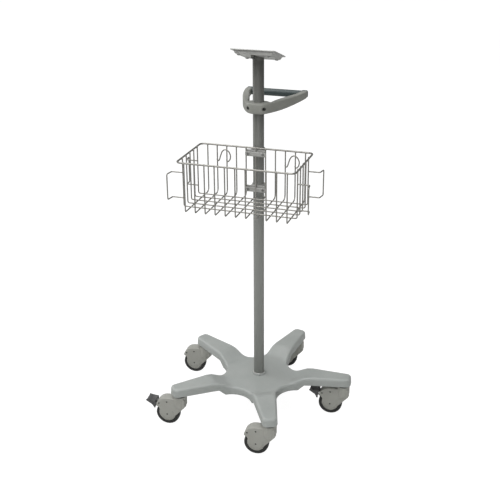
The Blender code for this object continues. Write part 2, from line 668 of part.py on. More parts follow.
# ---------------------------------------------------------------- basket
def basket_wires():
    half_w = BASKET_W / 2
    front, rear = BASKET_FRONT, BASKET_FRONT + BASKET_D
    rim_z, floor_z = BASKET_RIM_Z, BASKET_RIM_Z - BASKET_H
    wires = []
    for i in range(CROSS_WIRES):
        x = (i - (CROSS_WIRES - 1) / 2) * CROSS_PITCH
        path = [(x, front + WELD, rim_z), (x, front + WELD, floor_z), (x, rear - WELD, floor_z),
                (x, rear - WELD, rim_z)]
        wires.append(tube(rounded(path, (FRONT_BEND, REAR_BEND), 2), WIRE_R))
    middle = (front + rear) / 2
    lift = WIRE_R * (2 - WIRE_SINK)
    for i in range(LONG_WIRES):
        y = middle + (i - (LONG_WIRES - 1) / 2) * LONG_PITCH
        side = half_w - WELD
        path = [(-side, y, rim_z), (-side, y, floor_z + lift), (side, y, floor_z + lift), (side, y, rim_z)]
        wires.append(tube(rounded(path, FRONT_BEND, 2), WIRE_R))
    return wires


def basket_hook(x):
    """A hook bent from wire on the rear wall, from the wire at x to the next one towards +X."""
    wall = BASKET_FRONT + BASKET_D - WELD - WIRE_R * (2 - WIRE_SINK)
    foot, pitch = BASKET_RIM_Z - HOOK_DOWN, CROSS_PITCH
    bends = [(0, 0.004), (0.06, 0.0008), (0.16, 0), (0.27, 0.0045), (0.40, 0.017), (0.58, 0.029),
             (0.87, 0.0345), (1.18, 0.031), (1.36, 0.023), (1.42, 0.015), (1.35, 0.006), (1.18, 0), (1.06, 0.001), (1, 0.004)]
    return tube([(x + share * pitch, wall, foot + height) for share, height in bends], WIRE_R)


def basket_cleat(side, y, turn):
    """A cable cleat on a side wall: out, then bent over towards +Y or -Y."""
    wall = BASKET_W / 2 - WELD + WIRE_R * WIRE_SINK
    out = wall + CLEAT_OUT
    lip = out + CLEAT_SPLAY
    low, high = CLEAT_Z - CLEAT_H / 2, CLEAT_Z + CLEAT_H / 2
    path = [(wall, y, high), (out, y, high), (lip, y + turn * CLEAT_LIP, high),
            (lip, y + turn * CLEAT_LIP, low), (out, y, low), (wall, y, low)]
    return tube(rounded([(side * px, py, pz) for px, py, pz in path], CLEAT_BEND, 2), WIRE_R)


def build_basket(stand):
    half_w, rear = BASKET_W / 2, BASKET_FRONT + BASKET_D
    corners = [(-half_w, BASKET_FRONT, BASKET_RIM_Z), (half_w, BASKET_FRONT, BASKET_RIM_Z),
               (half_w, rear, BASKET_RIM_Z), (-half_w, rear, BASKET_RIM_Z)]
    rim = tube(rounded(corners, RIM_BEND, 3, closed=True), RIM_R, closed=True, resolution=2)
    middle = BASKET_FRONT + BASKET_D / 2
    hooks = [basket_hook(steps * CROSS_PITCH) for steps in (-4, 3)]
    cleats = [basket_cleat(side, middle + turn * 2 * LONG_PITCH, turn)
              for side in (-1, 1) for turn in (-1, 1)]
    add_object("basket", smooth(union(rim, *basket_wires(), *hooks, *cleats)), WIRE_STEEL, stand)


def build_brackets(stand):
    """Two clamps that hold the basket's rear wires against the pole."""
    wire_y = BASKET_FRONT + BASKET_D - WELD
    plate_y = wire_y - WIRE_R - GAP - BRACKET_T / 2
    ear_y = wire_y + WIRE_R + GAP + BAND_T / 2
    bolt_x = BRACKET_BOLT_X
    for label, height in zip(("upper", "lower"), BRACKET_Z):
        level = add_empty(f"bracket_{label}", stand, (0, 0, height))
        plate = bevelled(box((BRACKET_W, BRACKET_T, BRACKET_H), (0, plate_y, 0)), 0.0008, 1)
        holes = [moved(rod(BRACKET_BOLT_R + FIT, plate_y - POLE_R, 0),
                       Matrix.Translation((sign * bolt_x, 0, 0)) @ ALONG_Y) for sign in (-1, 1)]
        add_object(f"basket_plate_{label}", smooth(cut(plate, *holes)), PLATE_METAL, level)
        outer = POLE_R + FIT + BAND_T
        band = rod(outer, -BAND_H / 2, BAND_H / 2, ROUND)
        ears = bevelled(box((2 * bolt_x + 0.013, BAND_T, BAND_H), (0, ear_y, 0)), 0.0008, 1)
        web = box((2 * POLE_R, -ear_y, BAND_H), (0, ear_y / 2, 0))
        hole = rod(POLE_R + FIT, -BAND_H, BAND_H, ROUND)
        holes = [moved(rod(BRACKET_BOLT_R + FIT, plate_y - POLE_R, 0),
                       Matrix.Translation((sign * bolt_x, 0, 0)) @ ALONG_Y) for sign in (-1, 1)]
        body = cut(union(band, ears, web), hole, *holes)
        add_object(f"basket_band_{label}", smooth(body), PLATE_METAL, level)
        head, nut = plate_y - BRACKET_T / 2 - GAP, ear_y + BAND_T / 2 + GAP
        radius = BRACKET_BOLT_R
        bolt = turned([(0, nut + 0.0045), (radius, nut + 0.0045), (radius * 1.8, nut + 0.003),
                       (radius * 1.8, nut), (radius, nut), (radius, head), (radius * 1.8, head),
                       (radius * 1.5, head - 0.0025), (0, head - 0.0025)], SMALL)
        bolt = smooth(moved(bolt, ALONG_Y))
        for number, sign in enumerate((-1, 1), 1):
            made = add_object(f"basket_bolt_{label}_{number}", bolt, SCREW_STEEL, level)
            made.location = (sign * bolt_x, 0, 0)


# ---------------------------------------------------------------- the stand
stand = add_empty("stand", location=(POLE_X, POLE_Y, 0))
build_base(stand)
build_pole(stand)
build_casters(stand)
build_plate(stand)
build_handle(stand)
build_basket(stand)
build_brackets(stand)
bpy.context.view_layer.update()
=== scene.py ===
"""Looks of a rolling stand for a patient monitor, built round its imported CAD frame.

Each sub-assembly is a class that takes its places from the frame, builds its pieces in metres and
dresses them in procedural finishes. The basket faces -Y and the push handle +Y.
"""

import logging
import math
from dataclasses import dataclass, field
from enum import Enum
from typing import Iterable, Sequence

import bmesh
import bpy
from mathutils import Matrix, Vector


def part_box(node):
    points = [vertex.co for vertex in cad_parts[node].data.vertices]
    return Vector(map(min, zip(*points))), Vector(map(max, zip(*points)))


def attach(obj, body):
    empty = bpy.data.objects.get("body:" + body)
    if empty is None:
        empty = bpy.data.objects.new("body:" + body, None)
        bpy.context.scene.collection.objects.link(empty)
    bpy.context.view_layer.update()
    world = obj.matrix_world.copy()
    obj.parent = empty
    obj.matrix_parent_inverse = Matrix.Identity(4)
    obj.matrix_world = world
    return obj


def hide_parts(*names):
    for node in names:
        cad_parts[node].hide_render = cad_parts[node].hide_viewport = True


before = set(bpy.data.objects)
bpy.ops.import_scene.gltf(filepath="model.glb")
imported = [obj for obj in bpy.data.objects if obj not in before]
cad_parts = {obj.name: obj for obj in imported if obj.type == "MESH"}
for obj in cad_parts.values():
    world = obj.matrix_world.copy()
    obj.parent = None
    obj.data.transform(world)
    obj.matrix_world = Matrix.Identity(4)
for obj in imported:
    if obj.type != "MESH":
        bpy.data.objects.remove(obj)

log = logging.getLogger("monitor_stand")

STAND = "stand"  # the body that everything fixed rides on
SEAT_GAP = 0.0003  # the frame leaves this much between pieces that touch


class Side(Enum):
    """The two sides of the stand, as the sign of X."""

    LEFT = -1
    RIGHT = 1


class Slot(Enum):
    """The record's material slots."""

    BASE = "base_paint"
    POLE = "pole_paint"
    CAST = "cast_grey"
    GRIP = "grip_teal"
    WIRE = "wire_steel"
    PLATE = "plate_metal"
    SCREW = "screw_steel"
    FORK = "fork_plastic"
    PEDAL = "pedal_plastic"
    CUP = "cup_plastic"
    TYRE = "tyre_rubber"


# ------------------------------------------------------------------------------ places in the frame
def middle(node: str) -> Vector:
    """Centre of a CAD node's box.

    Args:
        node: Name of the CAD node.

    Returns:
        The point halfway between the box's lowest and highest corners.
    """
    low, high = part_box(node)
    return (low + high) / 2


def size_of(node: str) -> Vector:
    """Side lengths of a CAD node's box.

    Args:
        node: Name of the CAD node.

    Returns:
        The box's lengths along X, Y and Z.
    """
    low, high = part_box(node)
    return high - low


# ------------------------------------------------------------------------------ outlines and paths
def smooth_step(value: float, start: float, end: float) -> float:
    """Rises from 0 at start to 1 at end, level at both."""
    t = min(max((value - start) / (end - start), 0), 1)
    return t * t * (3 - 2 * t)


def spread(count: int, pitch: float) -> list[float]:
    """Evenly spaced places, with zero in their middle."""
    return [(i - (count - 1) / 2) * pitch for i in range(count)]


def rectangle(low_x: float, low_y: float, high_x: float, high_y: float) -> list[tuple[float, float]]:
    """The corners of an upright rectangle, counter-clockwise from its lowest."""
    return [(low_x, low_y), (high_x, low_y), (high_x, high_y), (low_x, high_y)]


def arc(centre: Sequence[float], radius: float, start: float, end: float, steps: int) -> list[Vector]:
    """Points on a plane arc.

    Args:
        centre: The arc's centre.
        radius: Its radius.
        start: Angle of the first point, in degrees.
        end: Angle of the last point, in degrees.
        steps: Number of steps between them.

    Returns:
        The arc's points in order.
    """
    turns = [math.radians(start + (end - start) * i / steps) for i in range(steps + 1)]
    return [Vector((centre[0] + radius * math.cos(t), centre[1] + radius * math.sin(t))) for t in turns]


def fillet(points: Iterable[Sequence[float]], radius: float | tuple[float, ...], steps: int = 6,
           closed: bool = False) -> list[Vector]:
    """Rounds the corners of a path or an outline.

    Args:
        points: Corner points, in two or three dimensions.
        radius: Radius of the rounded corners, or one for each inner corner, made smaller where there is
            no room for it.
        steps: Steps along each rounded corner.
        closed: Whether the last point joins the first.

    Returns:
        The path with an arc in place of each inner corner.
    """
    corners = [Vector(point) for point in points]
    count = len(corners)
    path = [] if closed else [corners[0]]
    for i in range(count) if closed else range(1, count - 1):
        here = corners[i]
        back, ahead = corners[i - 1] - here, corners[(i + 1) % count] - here
        room = min(back.length, ahead.length) * 0.48
        back.normalize()
        ahead.normalize()
        half = back.angle(ahead) / 2
        if half > math.radians(89.5):
            path.append(here)
            continue
        wanted = radius[i - 1] if isinstance(radius, tuple) else radius
        size = min(wanted, room * math.tan(half))
        inset = size / math.tan(half)
        hub = here + (back + ahead).normalized() * size / math.sin(half)
        first, last = here + back * inset - hub, here + ahead * inset - hub
        sweep_angle = first.angle(last)
        for k in range(steps + 1):
            t = k / steps
            spoke = first * math.sin((1 - t) * sweep_angle) + last * math.sin(t * sweep_angle)
            path.append(hub + spoke / math.sin(sweep_angle))
    if not closed:
        path.append(corners[-1])
    return path


def flowing(points: Iterable[Sequence[float]], steps: int = 6) -> list[Vector]:
    """A smooth curve through a few points.

    Args:
        points: Points that the curve passes through, in two or three dimensions.
        steps: Steps between neighbouring points.

    Returns:
        Points along a Catmull-Rom curve, with both ends kept.
    """
    knots = [Vector(point) for point in points]
    knots = [knots[0] * 2 - knots[1], *knots, knots[-1] * 2 - knots[-2]]
    path = []
    for a, b, c, d in zip(knots, knots[1:], knots[2:], knots[3:]):
        for k in range(steps):
            t = k / steps
            path.append((b * 2 + (c - a) * t + (a * 2 - b * 5 + c * 4 - d) * t * t
                         + (b * 3 - a - c * 3 + d) * t ** 3) / 2)
    return path + [knots[-2]]


def inset(points: Sequence[Vector], distance: float) -> list[Vector]:
    """Moves a closed outline inwards.

    Args:
        points: The outline, counter-clockwise.
        distance: How far each edge moves.

    Returns:
        The moved outline, with as many points.
    """
    count = len(points)
    moved = []
    for i, point in enumerate(points):
        into, out = point - points[i - 1], points[(i + 1) % count] - point
        first, second = Vector((-into.y, into.x)).normalized(), Vector((-out.y, out.x)).normalized()
        mitre = (first + second).normalized()
        moved.append(point + mitre * (distance / max(mitre.dot(first), 0.6)))
    return moved


# ------------------------------------------------------------------------------ meshes
def linked(name: str, data: bpy.types.ID) -> bpy.types.Object:
    """A new object in the scene, with the given mesh, light or camera."""
    made = bpy.data.objects.new(name, data)
    bpy.context.scene.collection.objects.link(made)
    return made


def mesh_object(name: str, bm: bmesh.types.BMesh, sharp: float = 35) -> bpy.types.Object:
    """Turns a bmesh into a linked object with smooth faces and sharp edges.

    Args:
        name: The object's name.
        bm: The mesh, which is freed.
        sharp: Edges that bend by more than this many degrees stay sharp.

    Returns:
        The new object.
    """
    bmesh.ops.recalc_face_normals(bm, faces=bm.faces)
    mesh = bpy.data.meshes.new(name)
    bm.to_mesh(mesh)
    bm.free()
    made = linked(name, mesh)
    shade(made, sharp)
    return made


def shade(piece: bpy.types.Object, sharp: float = 35) -> None:
    """Smooths a piece's faces and keeps its sharp edges.

    Args:
        piece: The object to shade.
        sharp: Edges that bend by more than this many degrees stay sharp.
    """
    piece.data.shade_smooth()
    piece.data.set_sharp_from_angle(angle=math.radians(sharp))


def skin(name: str, rings: Sequence[Sequence[Vector]], closed: bool = False,
         sharp: float = 35) -> bpy.types.Object:
    """A closed body through rings of equal count.

    Args:
        name: The object's name.
        rings: Closed loops of points, in order along the body.
        closed: Whether the last ring joins the first, in place of a cap on each.
        sharp: Edges that bend by more than this many degrees stay sharp.

    Returns:
        The new object.
    """
    bm = bmesh.new()
    loops = [[bm.verts.new(point) for point in ring] for ring in rings]
    count = len(loops[0])
    pairs = list(zip(loops, loops[1:])) + ([(loops[-1], loops[0])] if closed else [])
    for first, second in pairs:
        for i in range(count):
            j = (i + 1) % count
            bm.faces.new((first[i], first[j], second[j], second[i]))
    if not closed:
        bm.faces.new(loops[0])
        bm.faces.new(loops[-1])
    return mesh_object(name, bm, sharp)


def lathe(name: str, profile: Sequence[Sequence[float]], sides: int = 64, ring: bool = False,
          sharp: float = 35) -> bpy.types.Object:
    """A body turned about Z.

    Args:
        name: The object's name.
        profile: (radius, height) points along the outline.
        sides: Steps round the axis.
        ring: Whether the profile is a closed loop, as on a tyre; otherwise each end is capped.
        sharp: Edges that bend by more than this many degrees stay sharp.

    Returns:
        The new object.
    """
    turns = [math.tau * i / sides for i in range(sides)]
    rings = [[Vector((radius * math.cos(t), radius * math.sin(t), height)) for t in turns]
             for radius, height in profile]
    return skin(name, rings, ring, sharp)


def wire(name: str, path: Sequence[Vector], radius: float, hint: Vector, sides: int = 12,
         closed: bool = False) -> bpy.types.Object:
    """A round wire along a path, with rounded ends.

    Args:
        name: The object's name.
        path: Points along the wire's axis.
        radius: The wire's radius.
        hint: A direction that is not along the path's first stretch.
        sides: Sides of the wire's section.
        closed: Whether the path is a loop.

    Returns:
        The new object.
    """
    count = len(path)
    rings = []
    across = hint.copy()
    for i, point in enumerate(path):
        before = path[i - 1] if closed or i else point
        after = path[(i + 1) % count] if closed or i < count - 1 else point
        along = (after - before).normalized()
        across = (across - along * across.dot(along)).normalized()
        upward = along.cross(across)
        turns = [math.tau * k / sides for k in range(sides)]
        loop = [across * math.cos(t) + upward * math.sin(t) for t in turns]
        shifts = [(0.0, 1.0)]
        if not closed and i in (0, count - 1):
            shifts = [(math.sin(a), math.cos(a)) for a in (0, math.radians(35), math.radians(65))]
            if i == 0:
                shifts = [(-shift, share) for shift, share in reversed(shifts)]
        for shift, share in shifts:
            rings.append([point + along * shift * radius + spoke * radius * share for spoke in loop])
    return skin(name, rings, closed, 60)


def cushion(name: str, outline: Sequence[Sequence[float]], low: float, high: float, radius: float = 0.0,
            steps: int = 4, turn: Matrix | None = None) -> bpy.types.Object:
    """A flat outline made thick along Z, with its two rims rounded.

    Args:
        name: The object's name.
        outline: The outline's points, counter-clockwise.
        low: Height of the lower face.
        high: Height of the upper face.
        radius: Radius of the rounded rims, or 0 for sharp ones.
        steps: Steps across each rounded rim.
        turn: Where to move the body afterwards.

    Returns:
        The new object.
    """
    flat = [Vector((point[0], point[1])) for point in outline]
    turns = [math.radians(90 * k / steps) for k in range(steps + 1)] if radius else [0.0]
    layers = [(radius * (1 - math.sin(t)), low + radius * (1 - math.cos(t))) for t in turns]
    layers += [(shift, low + high - height) for shift, height in reversed(layers)]
    rings = [[Vector((*point, height)) for point in inset(flat, shift)] for shift, height in layers]
    made = skin(name, rings)
    if turn:
        made.data.transform(turn)
    return made


def settled(piece: bpy.types.Object) -> bpy.types.Object:
    """Bakes a piece's modifiers into its mesh.

    Args:
        piece: The object with modifiers.

    Returns:
        The same object, with none left.
    """
    bpy.context.view_layer.update()
    graph = bpy.context.evaluated_depsgraph_get()
    mesh = bpy.data.meshes.new_from_object(piece.evaluated_get(graph))
    piece.modifiers.clear()
    piece.data = mesh
    mesh.name = piece.name
    return piece


def combined(piece: bpy.types.Object, others: Iterable[bpy.types.Object], operation: str,
             sharp: float = 35) -> bpy.types.Object:
    """Joins bodies to a piece or cuts them from it.

    Args:
        piece: The object that is kept.
        others: The other bodies, which are removed.
        operation: UNION or DIFFERENCE.
        sharp: Edges that bend by more than this many degrees stay sharp.

    Returns:
        The changed object.
    """
    others = list(others)
    for other in others:
        step = piece.modifiers.new("step", "BOOLEAN")
        step.operation = operation
        step.solver = "EXACT"
        step.object = other
    settled(piece)
    for other in others:
        bpy.data.objects.remove(other, do_unlink=True)
    shade(piece, sharp)
    return piece


def joined(name: str, pieces: Sequence[bpy.types.Object]) -> bpy.types.Object:
    """Gathers bodies that never part into one object.

    Args:
        name: The object's name.
        pieces: The bodies, which are removed.

    Returns:
        The new object.
    """
    bm = bmesh.new()
    for piece in pieces:
        bm.from_mesh(piece.data)
        bpy.data.objects.remove(piece, do_unlink=True)
    mesh = bpy.data.meshes.new(name)
    bm.to_mesh(mesh)
    bm.free()
    return linked(name, mesh)


def placed(piece: bpy.types.Object, place: Matrix) -> bpy.types.Object:
    """Moves a piece's mesh.

    Args:
        piece: The object to move.
        place: Where its mesh goes.

    Returns:
        The same object.
    """
    piece.data.transform(place)
    return piece


def copy_of(piece: bpy.types.Object, name: str, place: Matrix) -> bpy.types.Object:
    """Another object with the same mesh.

    Args:
        piece: The object to repeat.
        name: The copy's name.
        place: Where the copy goes.

    Returns:
        The new object.
    """
    made = linked(name, piece.data)
    made.matrix_world = place
    return made


UPRIGHT = Matrix.Rotation(math.pi / 2, 4, "X")  # an outline's Y becomes Z, its thickness runs along Y
ALONG_Y = Matrix.Rotation(-math.pi / 2, 4, "X")  # a turned body's Z becomes Y
ALONG_X = Matrix.Rotation(math.pi / 2, 4, "Y")  # a turned body's Z becomes X


# ------------------------------------------------------------------------------ finishes
class NodeKit:
    """Short calls for building one node tree."""

    def __init__(self, tree: bpy.types.NodeTree) -> None:
        """Keeps the tree that the nodes go in."""
        self.tree = tree

    def add(self, kind: str, **values: object) -> bpy.types.Node:
        """Adds a node.

        Args:
            kind: The node's type name.
            values: Attributes to set on it.

        Returns:
            The new node.
        """
        node = self.tree.nodes.new(kind)
        for key, value in values.items():
            setattr(node, key, value)
        return node

    def link(self, out: bpy.types.NodeSocket, into: bpy.types.NodeSocket) -> None:
        """Joins an output socket to an input socket."""
        self.tree.links.new(out, into)

    def feed(self, value: object, into: bpy.types.NodeSocket) -> None:
        """Links a socket to an input, or sets the input to a plain value."""
        if isinstance(value, bpy.types.NodeSocket):
            self.link(value, into)
        else:
            into.default_value = value

    def math(self, operation: str, first: object, second: object = 0.0,
             clamp: bool = False) -> bpy.types.NodeSocket:
        """Adds a Math node.

        Args:
            operation: The node's operation.
            first: A socket or a number.
            second: A socket or a number.
            clamp: Whether the result is kept between 0 and 1.

        Returns:
            The node's output socket.
        """
        node = self.add("ShaderNodeMath", operation=operation, use_clamp=clamp)
        self.feed(first, node.inputs[0])
        self.feed(second, node.inputs[1])
        return node.outputs[0]

    def noise(self, place: bpy.types.NodeSocket, scale: object, detail: float = 3.0,
              roughness: float = 0.5) -> bpy.types.NodeSocket:
        """Adds a noise texture.

        Args:
            place: Coordinates of the surface.
            scale: A socket or a number.
            detail: Octaves of finer noise.
            roughness: Strength of the finer noise.

        Returns:
            The socket of its grey value.
        """
        node = self.add("ShaderNodeTexNoise")
        self.link(place, node.inputs["Vector"])
        self.feed(scale, node.inputs["Scale"])
        node.inputs["Detail"].default_value = detail
        node.inputs["Roughness"].default_value = roughness
        return node.outputs["Fac"]

    def ramp(self, value: bpy.types.NodeSocket, low: float, high: float) -> bpy.types.NodeSocket:
        """Stretches a value so that low becomes 0 and high becomes 1.

        Args:
            value: The socket to stretch.
            low: Value that becomes 0.
            high: Value that becomes 1.

        Returns:
            The stretched value's socket.
        """
        node = self.add("ShaderNodeMapRange", clamp=True)
        self.link(value, node.inputs["Value"])
        node.inputs["From Min"].default_value = low
        node.inputs["From Max"].default_value = high
        return node.outputs["Result"]

    def mix(self, factor: bpy.types.NodeSocket, first: object, second: object) -> bpy.types.NodeSocket:
        """Mixes two colours.

        Args:
            factor: Share of the second colour.
            first: A socket or a colour of three numbers.
            second: A socket or a colour of three numbers.

        Returns:
            The mixed colour's socket.
        """
        node = self.add("ShaderNodeMix", data_type="RGBA")
        self.link(factor, node.inputs[0])
        for socket, value in ((node.inputs[6], first), (node.inputs[7], second)):
            self.feed((*value, 1.0) if isinstance(value, tuple) else value, socket)
        return node.outputs[2]


class Effects:
    """The shader node groups that the finishes share, each built once."""

    def __init__(self) -> None:
        """Builds the groups."""
        self.grain = self._grain()
        self.wear = self._wear()
        self.dust = self._dust()
        self.drawn = self._drawn()

    @staticmethod
    def _group(name: str, inputs: dict[str, float], outputs: Sequence[str]) -> tuple:
        """Starts a node group.

        Args:
            name: The group's name.
            inputs: Names and default values of its number inputs.
            outputs: Names of its number outputs.

        Returns:
            The group, a NodeKit for it, its input node and its output node.
        """
        group = bpy.data.node_groups.new(name, "ShaderNodeTree")
        for label, value in inputs.items():
            socket = group.interface.new_socket(name=label, in_out="INPUT", socket_type="NodeSocketFloat")
            socket.default_value = value
        for label in outputs:
            group.interface.new_socket(name=label, in_out="OUTPUT", socket_type="NodeSocketFloat")
        kit = NodeKit(group)
        return group, kit, kit.add("NodeGroupInput"), kit.add("NodeGroupOutput")

    def _grain(self) -> bpy.types.NodeTree:
        """Fine pebbled relief with slow mottling, as on powder coat, castings and moulded plastic."""
        scales = {"Scale": 900, "Mottle Scale": 14}
        group, kit, given, out = self._group("fine_grain", scales, ("Height", "Mottle"))
        place = kit.add("ShaderNodeTexCoord").outputs["Object"]
        fine = kit.noise(place, given.outputs["Scale"], 2.0)
        coarse = kit.noise(place, kit.math("MULTIPLY", given.outputs["Scale"], 0.31), 2.0)
        height = kit.math("ADD", kit.math("MULTIPLY", fine, 0.6), kit.math("MULTIPLY", coarse, 0.4))
        mottle = kit.noise(place, given.outputs["Mottle Scale"], 4.0, 0.6)
        kit.link(height, out.inputs["Height"])
        kit.link(kit.ramp(mottle, 0.3, 0.7), out.inputs["Mottle"])
        return group

    def _wear(self) -> bpy.types.NodeTree:
        """Rubbed corners: where the surface bends outwards, broken up by noise."""
        group, kit, given, out = self._group("edge_wear", {"Amount": 0.5, "Scale": 90}, ("Mask",))
        bend = kit.ramp(kit.add("ShaderNodeNewGeometry").outputs["Pointiness"], 0.505, 0.56)
        place = kit.add("ShaderNodeTexCoord").outputs["Object"]
        patches = kit.ramp(kit.noise(place, given.outputs["Scale"], 5.0, 0.65), 0.42, 0.66)
        mask = kit.math("MULTIPLY", kit.math("MULTIPLY", bend, patches), given.outputs["Amount"], clamp=True)
        kit.link(mask, out.inputs["Mask"])
        return group

    def _dust(self) -> bpy.types.NodeTree:
        """A light film on what faces up, with wiped streaks."""
        group, kit, given, out = self._group("settled_dust", {"Amount": 0.4, "Scale": 9}, ("Mask",))
        axes = kit.add("ShaderNodeSeparateXYZ")
        kit.link(kit.add("ShaderNodeTexCoord").outputs["Normal"], axes.inputs[0])
        facing = kit.ramp(axes.outputs["Z"], 0.2, 0.95)
        place = kit.add("ShaderNodeTexCoord").outputs["Object"]
        cloud = kit.ramp(kit.noise(place, given.outputs["Scale"], 5.0, 0.6), 0.35, 0.75)
        mask = kit.math("MULTIPLY", kit.math("MULTIPLY", facing, cloud), given.outputs["Amount"], clamp=True)
        kit.link(mask, out.inputs["Mask"])
        return group

    def _drawn(self) -> bpy.types.NodeTree:
        """Long fine lines along Z or all round, as drawing leaves on wire and tube."""
        scales = {"Scale": 700, "Length": 0.05}
        group, kit, given, out = self._group("drawn_lines", scales, ("Height", "Streak"))
        place = kit.add("ShaderNodeTexCoord").outputs["Object"]
        axes = kit.add("ShaderNodeSeparateXYZ")
        kit.link(place, axes.inputs[0])
        long = kit.add("ShaderNodeCombineXYZ")
        kit.link(axes.outputs["X"], long.inputs["X"])
        kit.link(axes.outputs["Y"], long.inputs["Y"])
        kit.link(kit.math("MULTIPLY", axes.outputs["Z"], given.outputs["Length"]), long.inputs["Z"])
        lines = kit.noise(long.outputs[0], given.outputs["Scale"], 2.0)
        streak = kit.noise(long.outputs[0], kit.math("MULTIPLY", given.outputs["Scale"], 0.12), 3.0)
        kit.link(lines, out.inputs["Height"])
        kit.link(kit.ramp(streak, 0.3, 0.7), out.inputs["Streak"])
        return group


@dataclass(frozen=True)
class Finish:
    """A coated, moulded or bare surface, from its colours and the strength of each effect."""

    name: str
    colour: tuple[float, float, float]
    mottled: tuple[float, float, float]
    roughness: tuple[float, float]
    metallic: float = 0.0
    grain: float = 900.0
    mottle: float = 14.0
    relief: float = 0.1
    wear: float = 0.0
    worn: tuple[float, float, float] = (0.6, 0.6, 0.58)
    dust: float = 0.0
    drawn: bool = False
    coat: float = 0.0
    specular: float = 0.5
    painted_floor_light: tuple[float, float, float] | None = None  # painted light: colour near the floor, the part made paler there as a painted reflection of the bright floor
    painted_floor_light_heights: tuple[float, float] = (1.1, 0.55)  # heights between which the painted floor light grows in

    def build(self, effects: Effects) -> bpy.types.Material:
        """Builds the material.

        Args:
            effects: The shared node groups.

        Returns:
            The material, with its Principled BSDF at the top level.
        """
        material = bpy.data.materials.new(self.name)
        material.use_nodes = True
        kit = NodeKit(material.node_tree)
        shader = material.node_tree.nodes["Principled BSDF"]
        shader.inputs["Metallic"].default_value = self.metallic
        shader.inputs["Specular IOR Level"].default_value = self.specular
        shader.inputs["Coat Weight"].default_value = self.coat
        shader.inputs["Coat Roughness"].default_value = 0.25
        height, mottle = self._relief(kit, effects)
        colour = kit.mix(mottle, self.colour, self.mottled)
        # painted light: the colour turns paler towards the floor, standing in for light reflected from the
        # floor
        if self.painted_floor_light:
            place = kit.add("ShaderNodeTexCoord").outputs["Object"]
            axes = kit.add("ShaderNodeSeparateXYZ")
            kit.link(place, axes.inputs["Vector"])
            colour = kit.mix(kit.ramp(axes.outputs["Z"], *self.painted_floor_light_heights), colour, self.painted_floor_light)
        low, high = self.roughness
        rough = kit.math("ADD", kit.math("MULTIPLY", mottle, high - low), low)
        if self.wear:
            rubbed = kit.add("ShaderNodeGroup", node_tree=effects.wear)
            rubbed.inputs["Amount"].default_value = self.wear
            colour = kit.mix(rubbed.outputs["Mask"], colour, self.worn)
            polish = kit.math("MULTIPLY", rubbed.outputs["Mask"], 0.12)
            rough = kit.math("SUBTRACT", rough, polish, clamp=True)
        if self.dust:
            film = kit.add("ShaderNodeGroup", node_tree=effects.dust)
            film.inputs["Amount"].default_value = self.dust
            colour = kit.mix(film.outputs["Mask"], colour, (0.62, 0.61, 0.58))
            rough = kit.math("ADD", rough, kit.math("MULTIPLY", film.outputs["Mask"], 0.25), clamp=True)
        bump = kit.add("ShaderNodeBump")
        bump.inputs["Strength"].default_value = self.relief
        bump.inputs["Distance"].default_value = 0.0006
        kit.link(height, bump.inputs["Height"])
        kit.link(bump.outputs["Normal"], shader.inputs["Normal"])
        kit.link(colour, shader.inputs["Base Color"])
        kit.link(rough, shader.inputs["Roughness"])
        return material

    def _relief(self, kit: NodeKit, effects: Effects) -> tuple:
        """Adds the relief group.

        Args:
            kit: The material's node kit.
            effects: The shared node groups.

        Returns:
            The sockets of the height and of the mottling.
        """
        if self.drawn:
            lines = kit.add("ShaderNodeGroup", node_tree=effects.drawn)
            lines.inputs["Scale"].default_value = self.grain
            return lines.outputs["Height"], lines.outputs["Streak"]
        grain = kit.add("ShaderNodeGroup", node_tree=effects.grain)
        grain.inputs["Scale"].default_value = self.grain
        grain.inputs["Mottle Scale"].default_value = self.mottle
        return grain.outputs["Height"], grain.outputs["Mottle"]


FINISHES: dict[Slot, Finish] = {
    Slot.BASE: Finish("base_powder_coat", (0.315, 0.333, 0.320), (0.345, 0.363, 0.350), (0.36, 0.46),
                      grain=1100, relief=0.10, wear=0.25, worn=(0.52, 0.55, 0.54), dust=0.12),
    # the pole's paler colour low down is painted light reflected from the floor
    Slot.POLE: Finish("pole_coat", (0.074, 0.074, 0.067), (0.084, 0.084, 0.076), (0.42, 0.52),
                      grain=1300, relief=0.08, painted_floor_light=(0.243, 0.250, 0.236)),
    Slot.CAST: Finish("cast_coat", (0.215, 0.218, 0.198), (0.245, 0.248, 0.225), (0.38, 0.5), grain=800,
                      relief=0.14, wear=0.35, worn=(0.42, 0.42, 0.39), dust=0.08),
    Slot.GRIP: Finish("soft_grip", (0.024, 0.038, 0.038), (0.032, 0.050, 0.050), (0.42, 0.55), grain=1600,
                      relief=0.2, specular=0.6),
    Slot.WIRE: Finish("plated_wire", (0.27, 0.262, 0.243), (0.34, 0.332, 0.312), (0.26, 0.36), metallic=0.85,
                      grain=900, relief=0.05, drawn=True),
    Slot.PLATE: Finish("satin_sheet", (0.37, 0.37, 0.355), (0.42, 0.42, 0.405), (0.34, 0.44), metallic=0.3,
                       grain=700, relief=0.06, wear=0.2, worn=(0.66, 0.66, 0.65)),
    Slot.SCREW: Finish("zinc_screw", (0.20, 0.20, 0.20), (0.27, 0.27, 0.26), (0.32, 0.45), metallic=0.8,
                       grain=600, relief=0.1),
    Slot.FORK: Finish("fork_plastic", (0.305, 0.305, 0.277), (0.335, 0.335, 0.307), (0.40, 0.52), grain=1000,
                      relief=0.12, wear=0.15, worn=(0.6, 0.6, 0.55), dust=0.10),
    Slot.PEDAL: Finish("pedal_plastic", (0.060, 0.060, 0.062), (0.085, 0.085, 0.085), (0.45, 0.6), grain=700,
                       relief=0.25, dust=0.10),
    Slot.CUP: Finish("seal_plastic", (0.018, 0.020, 0.018), (0.028, 0.030, 0.027), (0.45, 0.6), relief=0.1),
    Slot.TYRE: Finish("tyre_rubber", (0.014, 0.015, 0.014), (0.024, 0.025, 0.023), (0.5, 0.68), grain=500,
                      relief=0.25, dust=0.08),
}


